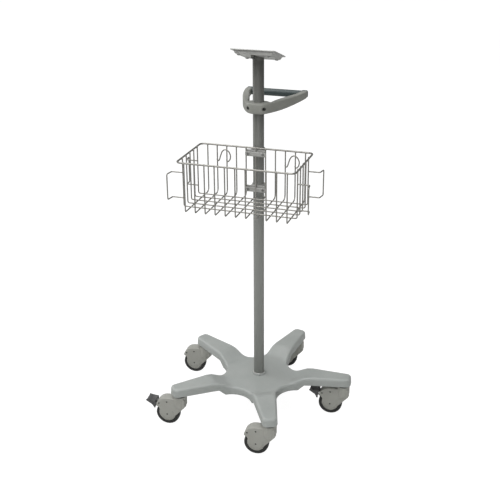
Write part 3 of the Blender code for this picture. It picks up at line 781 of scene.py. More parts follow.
class Workshop:
    """Dresses pieces: gives each its finish, its body and what it stands for."""

    def __init__(self) -> None:
        """Builds every finish once."""
        effects = Effects()
        self.materials = {slot: finish.build(effects) for slot, finish in FINISHES.items()}

    def dress(self, piece: bpy.types.Object, slot: Slot, body: str = STAND,
              stands_for: Sequence[str] = ()) -> None:
        """Finishes a new piece and puts it on its body.

        Args:
            piece: The new piece.
            slot: The record's slot that it takes its finish from.
            body: The CAD body that it rides on.
            stands_for: CAD nodes that it replaces.
        """
        piece.data.materials.clear()
        piece.data.materials.append(self.materials[slot])
        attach(piece, body)
        if stands_for:
            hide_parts(*stands_for)
        log.info("%s on %s, %d faces", piece.name, body, len(piece.data.polygons))

    def refinish(self, node: str, slot: Slot) -> None:
        """Gives a CAD node that stays in view a better material.

        Args:
            node: The CAD node.
            slot: The finish it takes.
        """
        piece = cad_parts[node]
        piece.data.materials.clear()
        piece.data.materials.append(self.materials[slot])
        log.info("%s kept, with %s", node, self.materials[slot].name)


# ------------------------------------------------------------------------------ base
@dataclass
class BaseCasting:
    """The five-armed casting, and the ring round the pole's foot."""

    shop: Workshop
    pole: Vector
    swivels: list[Vector]
    end: float = 0.0245  # swivel axis to the end of the arm
    half: float = 0.0255  # half width at the swivel axis
    taper: float = 0.095  # half width gained per metre towards the pole
    corner: float = 0.016
    notch: float = 0.109  # pole axis to the bottom of the notch between two arms
    edge: float = 0.008
    lower_edge: float = 0.003
    draft: float = 0.0012  # the side wall leans in by this much at its top
    hub_top: float = 0.117
    hub_low: float = 0.113
    arm_top: float = 0.135
    hub_under: float = 0.088
    arm_under: float = 0.1075
    rise: tuple[float, float] = (0.108, 0.168)
    under_rise: tuple[float, float] = (0.134, 0.158)
    ring_radius: float = 0.0215
    ring_height: float = 0.0045

    def top(self, radius: float) -> float:
        """Height of the top surface at a radius from the pole."""
        crown = self.hub_top + (self.hub_low - self.hub_top) * smooth_step(radius, 0.02, self.rise[0])
        return crown + (self.arm_top - self.hub_low) * smooth_step(radius, *self.rise)

    def under(self, radius: float) -> float:
        """Height of the underside at a radius from the pole."""
        return self.hub_under + (self.arm_under - self.hub_under) * smooth_step(radius, *self.under_rise)

    def outline(self) -> list[Vector]:
        """The star seen from above, about the pole's axis, counter-clockwise."""
        reach = (self.swivels[0] - self.pole).xy.length
        end, root = reach + self.end, self.half + reach * self.taper  # root: the half width on the axis
        corner = (end - self.corner, root - end * self.taper - self.corner)
        half = [Vector((end, corner[1] * share)) for share in (0.0, 0.5)]
        half += arc(corner, self.corner, 0, 84, 12)
        half_turn = math.pi / len(self.swivels)
        slope = math.hypot(1, self.taper)
        widening = math.sin(half_turn) + self.taper * math.cos(half_turn)
        radius = (widening * self.notch - root) / (slope - widening)
        hollow = Vector((math.cos(half_turn), math.sin(half_turn))) * (self.notch + radius)
        start = math.degrees(math.atan2(-1, -self.taper)) + 360
        bend = arc(hollow, radius, start, math.degrees(half_turn) + 180, 18)
        half += [half[-1].lerp(bend[0], k / 8) for k in range(1, 8)] + bend
        points = []
        for swivel in self.swivels:
            arm = swivel - self.pole
            turn = Matrix.Rotation(math.atan2(arm.y, arm.x), 2)
            whole = [Vector((p.x, -p.y)) for p in reversed(half[1:-1])] + half
            points += [turn @ point for point in whole]
        return points

    def build(self) -> None:
        """Builds the casting as rings from the hub outwards and back underneath."""
        outline = self.outline()
        rim = inset(outline, self.edge + self.draft)
        rings = []
        for k in range(1, 44):
            share = 0.08 + 0.92 * k / 44
            rings.append([Vector((*(p * share), self.top(p.length * share))) for p in rim])
        for k in range(9):
            turn = math.radians(90 - 90 * k / 8)
            shift, drop = self.edge * (1 - math.cos(turn)), self.edge * (1 - math.sin(turn))
            moved = inset(outline, shift + self.draft)
            rings.append([Vector((*p, self.top(p.length) - drop)) for p in moved])
        for k in range(5):
            turn = math.radians(90 * k / 4)
            shift, rise = self.lower_edge * (1 - math.cos(turn)), self.lower_edge * (1 - math.sin(turn))
            rings.append([Vector((*p, self.under(p.length) + rise)) for p in inset(outline, shift)])
        for share in (0.9, 0.75, 0.6, 0.56, 0.54, 0.52, 0.5, 0.48, 0.46, 0.42, 0.3, 0.15):
            rings.append([Vector((*(p * share), self.under(p.length * share))) for p in rim])
        casting = placed(skin("base_shell", rings, sharp=50), Matrix.Translation(self.pole))
        self.shop.dress(casting, Slot.BASE, stands_for=["base_casting"])
        self._foot_ring()

    def _foot_ring(self) -> None:
        """Builds the ring round the pole's foot, a pale ring on its top that paints the ring's highlight, and
        its set screw.
        """
        low, high, outer = self.hub_top - 0.001, self.hub_top + self.ring_height, self.ring_radius
        soft = 0.0016
        profile = [(0.0155, low), (outer, low)]
        profile += [tuple(p) for p in arc((outer - soft, high - soft), soft, 0, 90, 5)]
        profile += [(0.0172, high), (0.0166, high - 0.0006), (0.0155, high - 0.0006)]
        ring = placed(lathe("foot_ring", profile, 96, ring=True), Matrix.Translation(self.pole))
        self.shop.dress(ring, Slot.BASE, stands_for=["pole_foot_ring"])
        # A thin pale ring on the foot ring's top: a painted highlight along its rounded top edge.
        seal = [(0.0161, high - 0.001), (0.0186, high - 0.001), (0.0186, high + 0.0004),
                (0.0180, high + 0.0010), (0.0164, high + 0.0012)]
        self.shop.dress(placed(lathe("foot_ring_painted_highlight", seal, 96), Matrix.Translation(self.pole)), Slot.PLATE)
        arm = (self.swivels[0] - self.pole).normalized()
        head = lathe("foot_set_screw", [(0.0013, -0.004), (0.0013, 0.0002), (0.001, 0.0005)], 20)
        tilt = arm.to_track_quat("Z", "Y").to_matrix().to_4x4()
        spot = self.pole + arm * outer + Vector((0, 0, self.hub_top + 0.0022))
        self.shop.dress(placed(head, Matrix.Translation(spot) @ tilt), Slot.CUP)


# ------------------------------------------------------------------------------ pole
@dataclass
class Pole:
    """The painted tube between the base and the plate."""

    shop: Workshop
    pole: Vector

    def build(self) -> None:
        """Builds the tube with softened ends."""
        low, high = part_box("pole_tube")
        radius, soft = (high.x - low.x) / 2, 0.0005
        profile = [(radius - soft, low.z), (radius, low.z + soft),
                   (radius, high.z - soft), (radius - soft, high.z)]
        shaft = placed(lathe("pole_shaft", profile, 96, sharp=60), Matrix.Translation(self.pole))
        self.shop.dress(shaft, Slot.POLE, stands_for=["pole_tube"])


# ------------------------------------------------------------------------------ casters
@dataclass
class CasterShapes:
    """The meshes that the five casters share, about the swivel axis, trailing along +X."""

    trail: float
    wheel: float  # wheel radius
    head_top: float
    pin: Vector
    width: float = 0.032
    room: float = 0.040  # radius of the space round the tyre
    gap: float = 0.0255  # width of that space
    head: float = 0.020
    tyre_width: float = 0.0235
    edge: float = 0.003
    crown: float = 0.0945  # top of the fork behind its head
    cheek_radius: float = 0.0262
    dimple: float = 0.0028  # radius of the dimple round a pin's end

    def fork(self, name: str, braked: bool) -> bpy.types.Object:
        """The fork's shell.

        Args:
            name: The object's name.
            braked: Whether it has the pocket for a pedal.

        Returns:
            The shell, with dimples where its pins end.
        """
        back, front = self.trail + 0.0365, -self.head + 0.0005
        crown = flowing([(back, 0.0645), (back - 0.001, 0.070), (back - 0.006, 0.0795),
                         (back - 0.016, 0.0890), (back - 0.029, self.crown - 0.0007),
                         (back - 0.0485, self.crown)], 5)
        nose = fillet([(-0.006, self.crown), (front, self.crown), (front, 0.068), (0.0143, 0.0309)], 0.005, 5)
        skirt = fillet([(back - 0.0119, 0.0510), (back - 0.009, 0.0575), (back, 0.0635), (back, 0.0645)],
                       0.0035, 4)
        outline = nose[:-1] + arc(self.cheek, self.cheek_radius, 205, 380, 36) + skirt[1:-1] + crown
        half = self.width / 2
        body = cushion(name, outline, -half, half, self.edge, 5, UPRIGHT)
        soft = 0.0012
        profile = [(0.013, 0.060), (0.014, 0.060), (self.head, 0.066)]
        profile += [tuple(p) for p in arc((self.head - soft, self.head_top - soft), soft, 0, 90, 4)]
        head = lathe("head", profile, 72)
        combined(body, [head], "UNION")
        centre = Matrix.Translation((self.trail, 0, self.wheel))
        space = lathe("room", [(self.room, -self.gap / 2), (self.room, self.gap / 2)], 72)
        cutters = [placed(space, centre @ ALONG_Y)]
        for spot in self.spots():
            for side in Side:
                hole = lathe("hole", [(self.dimple, -0.0012), (self.dimple, 0.01)], 20)
                cutters.append(placed(hole, Matrix.Translation((spot.x, side.value * half, spot.z))
                                      @ Matrix.Rotation(-side.value * math.pi / 2, 4, "X")))
        if braked:
            pocket = cushion("pocket", rectangle(-0.02, -0.0073, 0.02, 0.0073), -0.00975, 0.00975)
            cutters.append(placed(pocket, Matrix.Translation((self.pin.x + 0.0155, 0, self.pin.z - 0.0045))))
        return combined(body, cutters, "DIFFERENCE")

    @property
    def cheek(self) -> tuple[float, float]:
        """The middle of the cheek's round part, a little above the axle."""
        return self.trail, self.wheel + 0.0045

    def spots(self) -> list[Vector]:
        """Where pins end on the cheeks: the axle, the pedal's pin and a stop above the wheel."""
        return [Vector((self.trail, 0, self.wheel)), self.pin, Vector((self.trail, 0, 0.081))]

    def pins(self, name: str) -> bpy.types.Object:
        """The dark pin ends inside the dimples: near-black discs, partly the real pin ends and partly painted
        shade that darkens the recessed dimples.
        """
        half = self.width / 2 - 0.0006
        profile = [(self.dimple - 0.0002, -half), (self.dimple - 0.0002, half)]
        return joined(name, [placed(lathe("pin", profile, 20), Matrix.Translation(spot) @ ALONG_Y)
                             for spot in self.spots()])

    def ribs(self, name: str) -> bpy.types.Object:
        """The raised arcs round the axle on both cheeks, and the moulding mark under its pin."""
        made = []
        for side in Side:
            face = side.value * (self.width / 2 + 0.0001)
            for radius, start, end in ((0.0198, 150, 345), (0.0226, 165, 340)):
                flat = arc(self.cheek, radius, start, end, 40)
                path = [Vector((p.x, face, p.y)) for p in flat]
                made.append(wire("rib", path, 0.0006, Vector((0, 1, 0)), 8))
            mark = lathe("mark", [(0.0022, -0.001), (0.0022, 0.0001), (0.0018, 0.0005), (0.0012, 0.0005)], 24)
            made.append(placed(mark, Matrix.Translation((self.trail, face, self.wheel - 0.0045))
                               @ Matrix.Rotation(-side.value * math.pi / 2, 4, "X")))
        return joined(name, made)

    def cup(self, name: str) -> bpy.types.Object:
        """The dark seal between the head and the arm."""
        low, high = self.head_top + 0.0002, self.head_top + 0.0048
        profile = [(0.0188, low), (0.0196, low + 0.0006), (0.0196, high - 0.0006), (0.0188, high)]
        return lathe(name, profile, 72)

    def tyre(self, name: str) -> bpy.types.Object:
        """The tyre, with rounded shoulders and a groove in each side wall."""
        half, outer = self.tyre_width / 2, self.wheel
        shoulder = [tuple(p) for p in arc((outer - 0.0042, half - 0.0036), 0.0036, 8, 80, 6)]
        side = [(shoulder[-1][0], half), (outer - 0.0060, half), (outer - 0.0066, half - 0.0006),
                (outer - 0.0074, half - 0.0006), (outer - 0.0080, half), (outer - 0.0120, half)]
        upper = [(outer, 0.0), (outer - 0.0001, 0.004)] + shoulder + side
        profile = [(r, -z) for r, z in reversed(upper)] + upper[1:]
        return placed(lathe(name, profile, 96, ring=True),
                      Matrix.Translation((self.trail, 0, self.wheel)) @ ALONG_Y)

    def core(self, name: str) -> bpy.types.Object:
        """The wheel's core, dished on both sides."""
        half = self.tyre_width / 2
        upper = [(0.0253, half - 0.0004), (0.0248, half), (0.0215, half), (0.0205, half - 0.003),
                 (0.0095, half - 0.003), (0.0085, half), (0.0050, half)]
        profile = [(r, -z) for r, z in reversed(upper)] + upper
        return placed(lathe(name, profile, 72, ring=True),
                      Matrix.Translation((self.trail, 0, self.wheel)) @ ALONG_Y)

    def pedal(self, name: str) -> bpy.types.Object:
        """The brake pedal: a tongue between the cheeks, a wide pad and a lip over the tyre."""
        edge = [(0.0118, 0.0058), (0.024, 0.0064), (0.0392, 0.0092), (0.0400, 0.0062), (0.0225, -0.0068),
                (0.0192, -0.0130), (0.0182, -0.0225), (0.0155, -0.0225), (0.0150, -0.0090), (0.0118, -0.0035)]
        pad = cushion(name, fillet(edge, 0.0011, 3, closed=True), -0.0168, 0.0168, 0.0014, 4, UPRIGHT)
        for vertex in pad.data.vertices:
            vertex.co.y *= 1 - 0.5 * smooth_step(-vertex.co.z, 0.0, 0.0225)
        tongue = fillet([(-0.0034, -0.0034), (0.016, -0.0032), (0.016, 0.0040), (-0.0034, 0.0034)],
                        0.003, 4, closed=True)
        parts = [cushion("tongue", tongue, -0.0064, 0.0064, 0.0008, 2, UPRIGHT)]
        for x in (0.027, 0.0305, 0.034):
            bar = cushion("tread_bar", rectangle(-0.0006, -0.0145, 0.0006, 0.0145), -0.002, 0.0006, 0.0005, 2)
            parts.append(placed(bar, Matrix.Translation((x, 0, 0.0064 + (x - 0.024) * 0.184))))
        return placed(combined(pad, parts, "UNION"), Matrix.Translation(self.pin))


@dataclass
class Casters:
    """Five swivel casters, two of them with a brake pedal."""

    shop: Workshop
    pole: Vector
    braked: tuple[int, ...] = (2, 5)

    def place(self, number: int) -> Matrix:
        """Where a caster stands, with its trailing direction as +X.

        Args:
            number: The caster's number, from 1.

        Returns:
            The place of its swivel axis on the floor.
        """
        stem, axle = middle(f"caster_{number}_stem"), middle(f"caster_{number}_axle")
        back = axle - stem
        spot = Vector((stem.x, stem.y, 0))
        return Matrix.Translation(spot) @ Matrix.Rotation(math.atan2(back.y, back.x), 4, "Z")

    def shapes(self) -> CasterShapes:
        """The shared meshes, with their places read from the first braked caster."""
        number = self.braked[0]
        stem, axle = middle(f"caster_{number}_stem"), middle(f"caster_{number}_axle")
        pin = self.place(number).inverted() @ middle(f"caster_{number}_pedal_pin")
        cup_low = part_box(f"caster_{number}_cup")[0].z
        return CasterShapes((axle - stem).xy.length, axle.z, cup_low - SEAT_GAP, pin)

    def build(self) -> None:
        """Builds each shape once and sets a copy under each arm."""
        shapes = self.shapes()
        templates = {"fork": shapes.fork("fork", False), "braked_fork": shapes.fork("braked_fork", True),
                     "pins": shapes.pins("pins"), "ribs": shapes.ribs("ribs"), "cup": shapes.cup("cup"),
                     "tyre": shapes.tyre("tyre"), "core": shapes.core("core"), "pedal": shapes.pedal("pedal")}
        for number in range(1, 6):
            self._set(number, templates)
        for template in templates.values():
            bpy.data.objects.remove(template, do_unlink=True)

    def _set(self, number: int, templates: dict[str, bpy.types.Object]) -> None:
        """Sets one caster's pieces.

        Args:
            number: The caster's number, from 1.
            templates: The shared shapes.
        """
        place, name = self.place(number), f"caster_{number}"
        swivel, wheel = f"{name}_swivel", f"{name}_wheel"
        braked = number in self.braked
        pins = [f"{name}_axle"] + ([f"{name}_pedal_pin"] if braked else [])
        rows = [("fork_shell", "braked_fork" if braked else "fork", Slot.FORK, swivel, [f"{name}_fork"]),
                # near-black discs in the cheek dimples: partly real pin ends, partly painted shade of the
                # dimples
                ("pin_ends_and_dimple_shade", "pins", Slot.CUP, swivel, pins),
                ("cheek_ribs", "ribs", Slot.FORK, swivel, []),
                ("seal", "cup", Slot.CUP, STAND, [f"{name}_cup"]),
                ("tread", "tyre", Slot.TYRE, wheel, [f"{name}_tyre"]),
                ("hub_core", "core", Slot.FORK, wheel, [f"{name}_wheel"])]
        if braked:
            rows.append(("brake_lever", "pedal", Slot.PEDAL, f"{name}_pedal", [f"{name}_pedal"]))
        for label, template, slot, body, replaced in rows:
            piece = copy_of(templates[template], f"{name}_{label}", place)
            self.shop.dress(piece, slot, body, replaced)
        self.shop.refinish(f"{name}_stem", Slot.SCREW)


# ------------------------------------------------------------------------------ monitor plate
@dataclass
class MonitorPlate:
    """The tilted plate that a monitor sits on, with its tray, screws and socket."""

    shop: Workshop
    pole: Vector
    top: float = 1.1346  # height of the plate's upper face on the pole's axis
    tilt: float = math.radians(18)
    width: float = 0.127
    depth: float = 0.117
    thickness: float = 0.003
    tray: tuple[float, float, float] = (0.108, 0.098, 0.010)
    flare: float = 0.004
    bend: float = 0.008

    def place(self) -> Matrix:
        """The middle of the plate's upper face, with +Z square to it."""
        return Matrix.Translation(self.pole + Vector((0, 0, self.top))) @ Matrix.Rotation(-self.tilt, 4, "X")

    def build(self) -> None:
        """Builds the sheet, the tray under it, four screws and the socket on the pole."""
        x, y = self.width / 2, self.depth / 2
        outline = fillet(rectangle(-x, -y, x, y), 0.006, 8, closed=True)
        sheet = cushion("plate_sheet", outline, -self.thickness, 0, 0.0008, 3)
        self.shop.dress(placed(sheet, self.place()), Slot.PLATE, stands_for=["monitor_plate"])
        self._tray()
        self._screws()
        self._socket()

    def _tray(self) -> None:
        """Builds the tray, whose ends curve up to the sheet."""
        width, depth, height = self.tray
        top, under, half = -self.thickness - SEAT_GAP, -self.thickness - height, width / 2
        hull = [Vector((half + self.flare, top)), Vector((-half - self.flare, top))]
        hull += arc((self.bend - half, under + self.bend), self.bend, 190, 270, 10)
        hull += arc((half - self.bend, under + self.bend), self.bend, 270, 350, 10)
        tray = cushion("plate_tray_shell", hull, -depth / 2, depth / 2, 0.0012, 3, UPRIGHT)
        self.shop.dress(placed(tray, self.place()), Slot.PLATE, stands_for=["plate_tray"])

    def _screws(self) -> None:
        """Builds the four screws' domed heads under the tray."""
        under = -self.thickness - self.tray[2]
        profile = [(0.0051, under + 0.001), (0.0051, under - 0.0006), (0.0046, under - 0.0016),
                   (0.0034, under - 0.0023), (0.0020, under - 0.0025), (0.0018, under - 0.0010)]
        head = lathe("screw_head", list(reversed(profile)), 32)
        for number in range(1, 5):
            spot = self.place().inverted() @ middle(f"plate_screw_{number}")
            place = self.place() @ Matrix.Translation((spot.x, spot.y, 0))
            piece = copy_of(head, f"plate_screw_head_{number}", place)
            self.shop.dress(piece, Slot.SCREW, stands_for=[f"plate_screw_{number}"])
        bpy.data.objects.remove(head, do_unlink=True)

    def _socket(self) -> None:
        """Builds the socket that closes the pole's top, the rib in front of it and the dark knob below."""
        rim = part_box("pole_tube")[1].z
        radius = size_of("pole_tube").x / 2
        profile = [(radius - 0.0025, rim - 0.01), (radius - 0.0005, rim + 0.0002),
                   (radius + 0.0002, rim + 0.001), (radius + 0.0002, self.top)]
        socket = placed(lathe("plate_socket_shell", profile, 72), Matrix.Translation(self.pole))
        above = cushion("above", rectangle(-0.1, -0.1, 0.1, 0.1), 0, 0.06)
        under = -self.thickness - self.tray[2]
        placed(above, self.place() @ Matrix.Translation((0, 0, under + 0.0004)))
        combined(socket, [above], "DIFFERENCE")
        self.shop.dress(socket, Slot.POLE, stands_for=["plate_socket"])
        outline = fillet(rectangle(-0.0062, -0.046, 0.0022, -0.010), 0.002, 4, closed=True)
        rib = cushion("plate_rib", outline, under - 0.0055, under + 0.001, 0.0015, 3)
        self.shop.dress(placed(rib, self.place()), Slot.POLE)
        profile = [(0.0050, under - 0.0096), (0.0056, under - 0.0088), (0.0056, under - 0.002),
                   (0.0046, under - 0.001), (0.0046, under + 0.001)]
        knob = lathe("plate_knob", profile, 32)
        self.shop.dress(placed(knob, self.place() @ Matrix.Translation((-0.001, -0.0395, 0))), Slot.CUP)


# ------------------------------------------------------------------------------ handle
@dataclass
class Handle:
    """The push handle: a cast frame clamped round the pole and a soft grip."""

    shop: Workshop
    pole: Vector
    height: float = 0.030
    depth: float = 0.178
    half: float = 0.088
    collar: float = 0.031
    thin: float = 0.26  # share of the height lost by the grip
    grip: float = 0.0108
    screw_x: float = 0.0235
    head_floor: float = 0.0185
    split: float = 0.0025

    def outer(self, side: int) -> list[Vector]:
        """Outer edge of one arm in plan, from the collar's front to the end of the grip."""
        knots = [(0.0, -self.collar), (0.016, -0.0285), (0.028, -0.020), (0.040, -0.002), (0.054, 0.026),
                 (0.067, 0.060), (0.078, 0.095), (0.087, 0.130), (0.093, 0.162), (0.0938, 0.180)]
        end = arc((self.half - 0.0028, self.depth + 0.0032), 0.0085, 10, 90, 6)
        return [Vector((side * p.x, p.y)) for p in flowing(knots, 5) + end]

    def inner(self, side: int) -> list[Vector]:
        """Inner edge of one arm in plan, from the end of the grip back to the clamp."""
        knots = [(self.half - 0.0125, self.depth + 0.0117), (self.half - 0.0125, self.depth - 0.006),
                 (self.half - 0.0130, self.depth - 0.018), (0.0696, 0.132), (0.0585, 0.099), (0.0480, 0.065),
                 (0.0385, 0.034), (0.0340, 0.012), (0.031, self.split)]
        return [Vector((side * p.x, p.y)) for p in [Vector(knots[0])] + flowing(knots[1:], 5)]

    def share(self, y: float) -> float:
        """The share of its full height that an arm has at a distance behind the pole."""
        close = max(y - self.depth + 0.012, 0) / 0.0245
        return (1 - self.thin * smooth_step(y, 0.02, self.depth)) * math.sqrt(1 - 0.7 * close * close)

    def build(self) -> None:
        """Builds the frame with its screw recesses, the screws, the grip and the clamp block."""
        level = middle("handle_frame").z
        place = Matrix.Translation(self.pole + Vector((0, 0, level)))
        radius = size_of("pole_tube").x / 2
        outline = (list(reversed(self.outer(-1)))[:-1] + self.outer(1) + self.inner(1)
                   + [Vector((radius, self.split)), Vector((-radius, self.split))]
                   + list(reversed(self.inner(-1))))
        body = cushion("handle_casting", outline, -self.height / 2, self.height / 2, 0.0045, 6)
        for vertex in body.data.vertices:
            vertex.co.z *= self.share(vertex.co.y)
        recesses = []
        for side in Side:
            profile = [(0.0046, self.head_floor), (0.0050, self.head_floor + 0.0005), (0.0050, 0.05)]
            hole = lathe("recess", profile, 32)
            recesses.append(placed(hole, Matrix.Translation((side.value * self.screw_x, 0, 0))
                                   @ Matrix.Rotation(math.pi / 2, 4, "X")))
        combined(body, recesses, "DIFFERENCE")
        self.shop.dress(placed(body, place), Slot.CAST, stands_for=["handle_frame"])
        for number, side in enumerate(Side, 1):
            face = self.head_floor + 0.004
            profile = [(0.0044, 0.010), (0.0044, face - 0.001), (0.0036, face), (0.0020, face),
                       (0.0020, face - 0.0025)]
            head = lathe(f"handle_screw_head_{number}", profile, 32)
            placed(head, place @ Matrix.Translation((side.value * self.screw_x, 0, 0))
                   @ Matrix.Rotation(math.pi / 2, 4, "X"))
            self.shop.dress(head, Slot.CUP, stands_for=[f"handle_screw_{number}"])
        self._grip(place)
        self.shop.refinish("handle_clamp", Slot.CAST)

    def _grip(self, place: Matrix) -> None:
        """Builds the grip, waisted a little where it meets the arms.

        Args:
            place: The handle's middle on the pole's axis.
        """
        long = self.half - 0.0075
        upper = [(self.grip - 0.0016, long), (self.grip - 0.0016, long - 0.002), (self.grip, long - 0.0036),
                 (self.grip, long - 0.02)]
        profile = [(r, -z) for r, z in upper] + [(r, z) for r, z in reversed(upper)]
        grip = lathe("handle_soft_grip", profile, 72)
        placed(grip, place @ Matrix.Translation((0, self.depth, 0)) @ ALONG_X)
        self.shop.dress(grip, Slot.GRIP, stands_for=["handle_grip"])
        tall = self.height / 2 * self.share(self.depth) + 0.0009
        for side in Side:
            plan = rectangle(self.half - 0.0134, self.depth + 0.001, self.half + 0.0069, self.depth + 0.0126)
            plan = fillet([(side.value * x, y) for x, y in plan][::side.value], 0.006, 6, closed=True)
            cap = cushion(f"handle_cap_{side.name.lower()}", plan, -tall, tall, 0.0055, 6)
            self.shop.dress(placed(cap, place), Slot.GRIP)


# ------------------------------------------------------------------------------ basket
@dataclass
class Basket:
    """The wire basket in front of the pole, with two hooks and four cable cleats."""

    shop: Workshop
    pole: Vector
    width: float = 0.3356
    depth: float = 0.1909
    front: float = -0.2128
    rim_z: float = 0.8678
    tall: float = 0.1424
    rim: float = 0.0026
    wire: float = 0.0019
    bends: tuple[float, float] = (0.005, 0.013)  # at the front and sides, and at the rear
    rim_bend: float = 0.014
    weld: float = 0.0036
    cross: tuple[int, float] = (11, 0.0292)
    long: tuple[int, float] = (5, 0.028)
    hook_down: float = 0.0452
    cleat: tuple[float, float, float] = (0.033, 0.026, 0.074)
    cleat_z: float = 0.790

    def _add(self, name: str, path: Sequence[Vector], radius: float, hint: Vector, closed: bool = False,
             stands_for: Sequence[str] = ()) -> None:
        """Adds one wire.

        Args:
            name: The object's name.
            path: The wire's axis, about the pole's axis.
            radius: The wire's radius.
            hint: A direction that is not along the path's first stretch.
            closed: Whether the path is a loop.
            stands_for: CAD nodes that it replaces.
        """
        made = placed(wire(name, path, radius, hint, 14, closed), Matrix.Translation(self.pole))
        self.shop.dress(made, Slot.WIRE, stands_for=stands_for)

    def build(self) -> None:
        """Builds the rim, the wires, the hooks and the cleats."""
        half, rear = self.width / 2, self.front + self.depth
        corners = [(x, y, self.rim_z) for x, y in rectangle(-half, self.front, half, rear)]
        rim = fillet(corners, self.rim_bend, 12, closed=True)
        self._add("basket_rim", rim, self.rim, Vector((0, 0, 1)), True, ["basket"])
        floor = self.rim_z - self.tall
        near, far = self.front + self.weld, rear - self.weld
        for i, x in enumerate(spread(*self.cross)):
            path = [(x, near, self.rim_z), (x, near, floor), (x, far, floor), (x, far, self.rim_z)]
            self._add(f"basket_cross_wire_{i + 1}", fillet(path, self.bends, 8), self.wire, Vector((1, 0, 0)))
        middle_y, bed, side = (self.front + rear) / 2, floor + self.wire * 1.7, half - self.weld
        for i, shift in enumerate(spread(*self.long)):
            y = middle_y + shift
            path = [(-side, y, self.rim_z), (-side, y, bed), (side, y, bed), (side, y, self.rim_z)]
            path = fillet(path, self.bends[0], 6)
            self._add(f"basket_long_wire_{i + 1}", path, self.wire, Vector((0, 1, 0)))
        for side in Side:
            label = side.name.lower()
            self._hook(f"basket_hook_{label}", (side.value * 3.5 - 0.5) * self.cross[1])
            for turn, place in ((-1, "front"), (1, "rear")):
                y = middle_y + turn * 2 * self.long[1]
                self._cleat(f"basket_cleat_{label}_{place}", side.value, y, turn)
        self._welds(rear)

    def _hook(self, name: str, x: float) -> None:
        """Builds a hook bent from wire on the rear wall, from one wire to the next towards +X.

        Args:
            name: The object's name.
            x: Where it starts.
        """
        wall = self.front + self.depth - self.weld - self.wire * 1.7
        bends = [(0, 0.004), (0.06, 0.0008), (0.16, 0), (0.27, 0.0045), (0.40, 0.017), (0.58, 0.029),
                 (0.87, 0.0345), (1.18, 0.031), (1.36, 0.023), (1.42, 0.015), (1.35, 0.006), (1.18, 0),
                 (1.06, 0.001), (1, 0.004)]
        foot, pitch = self.rim_z - self.hook_down, self.cross[1]
        flat = flowing([(share * pitch, height) for share, height in bends], 4)
        path = [Vector((x + p.x, wall, foot + p.y)) for p in flat]
        self._add(name, path, self.wire, Vector((0, 1, 0)))

    def _cleat(self, name: str, side: int, y: float, turn: int) -> None:
        """Builds a cable cleat on a side wall: out, then bent over along Y.

        Args:
            name: The object's name.
            side: Sign of X.
            y: Where it leaves the wall.
            turn: Sign of Y that it bends towards.
        """
        out_by, lip_by, tall = self.cleat
        wall = self.width / 2 - self.weld + self.wire * 0.3
        out, lip = wall + out_by, wall + out_by + 0.004
        low, high = self.cleat_z - tall / 2, self.cleat_z + tall / 2
        path = [(wall, y, high), (out, y, high), (lip, y + turn * lip_by, high),
                (lip, y + turn * lip_by, low), (out, y, low), (wall, y, low)]
        path = fillet([(side * a, b, c) for a, b, c in path], 0.004, 6)
        self._add(name, path, self.wire, Vector((0, 0, 1)))

    def _welds(self, rear: float) -> None:
        """Builds the small weld beads where the wires meet the rim.

        Args:
            rear: Y of the rim's rear side.
        """
        spots = []
        for x in spread(*self.cross):
            spots += [(x, self.front + self.weld * 0.55), (x, rear - self.weld * 0.55)]
        for shift in spread(*self.long):
            y = (self.front + rear) / 2 + shift
            spots += [(sign * (self.width / 2 - self.weld * 0.55), y) for sign in (-1, 1)]
        beads = []
        profile = [tuple(p) for p in arc((0.0, 0.0), 0.0021, -80, 80, 8)]
        for x, y in spots:
            bead = lathe("bead", [(r, z * 1.3) for r, z in profile], 12)
            beads.append(placed(bead, Matrix.Translation((x, y, self.rim_z - 0.0012))))
        welds = placed(joined("basket_welds", beads), Matrix.Translation(self.pole))
        self.shop.dress(welds, Slot.WIRE)


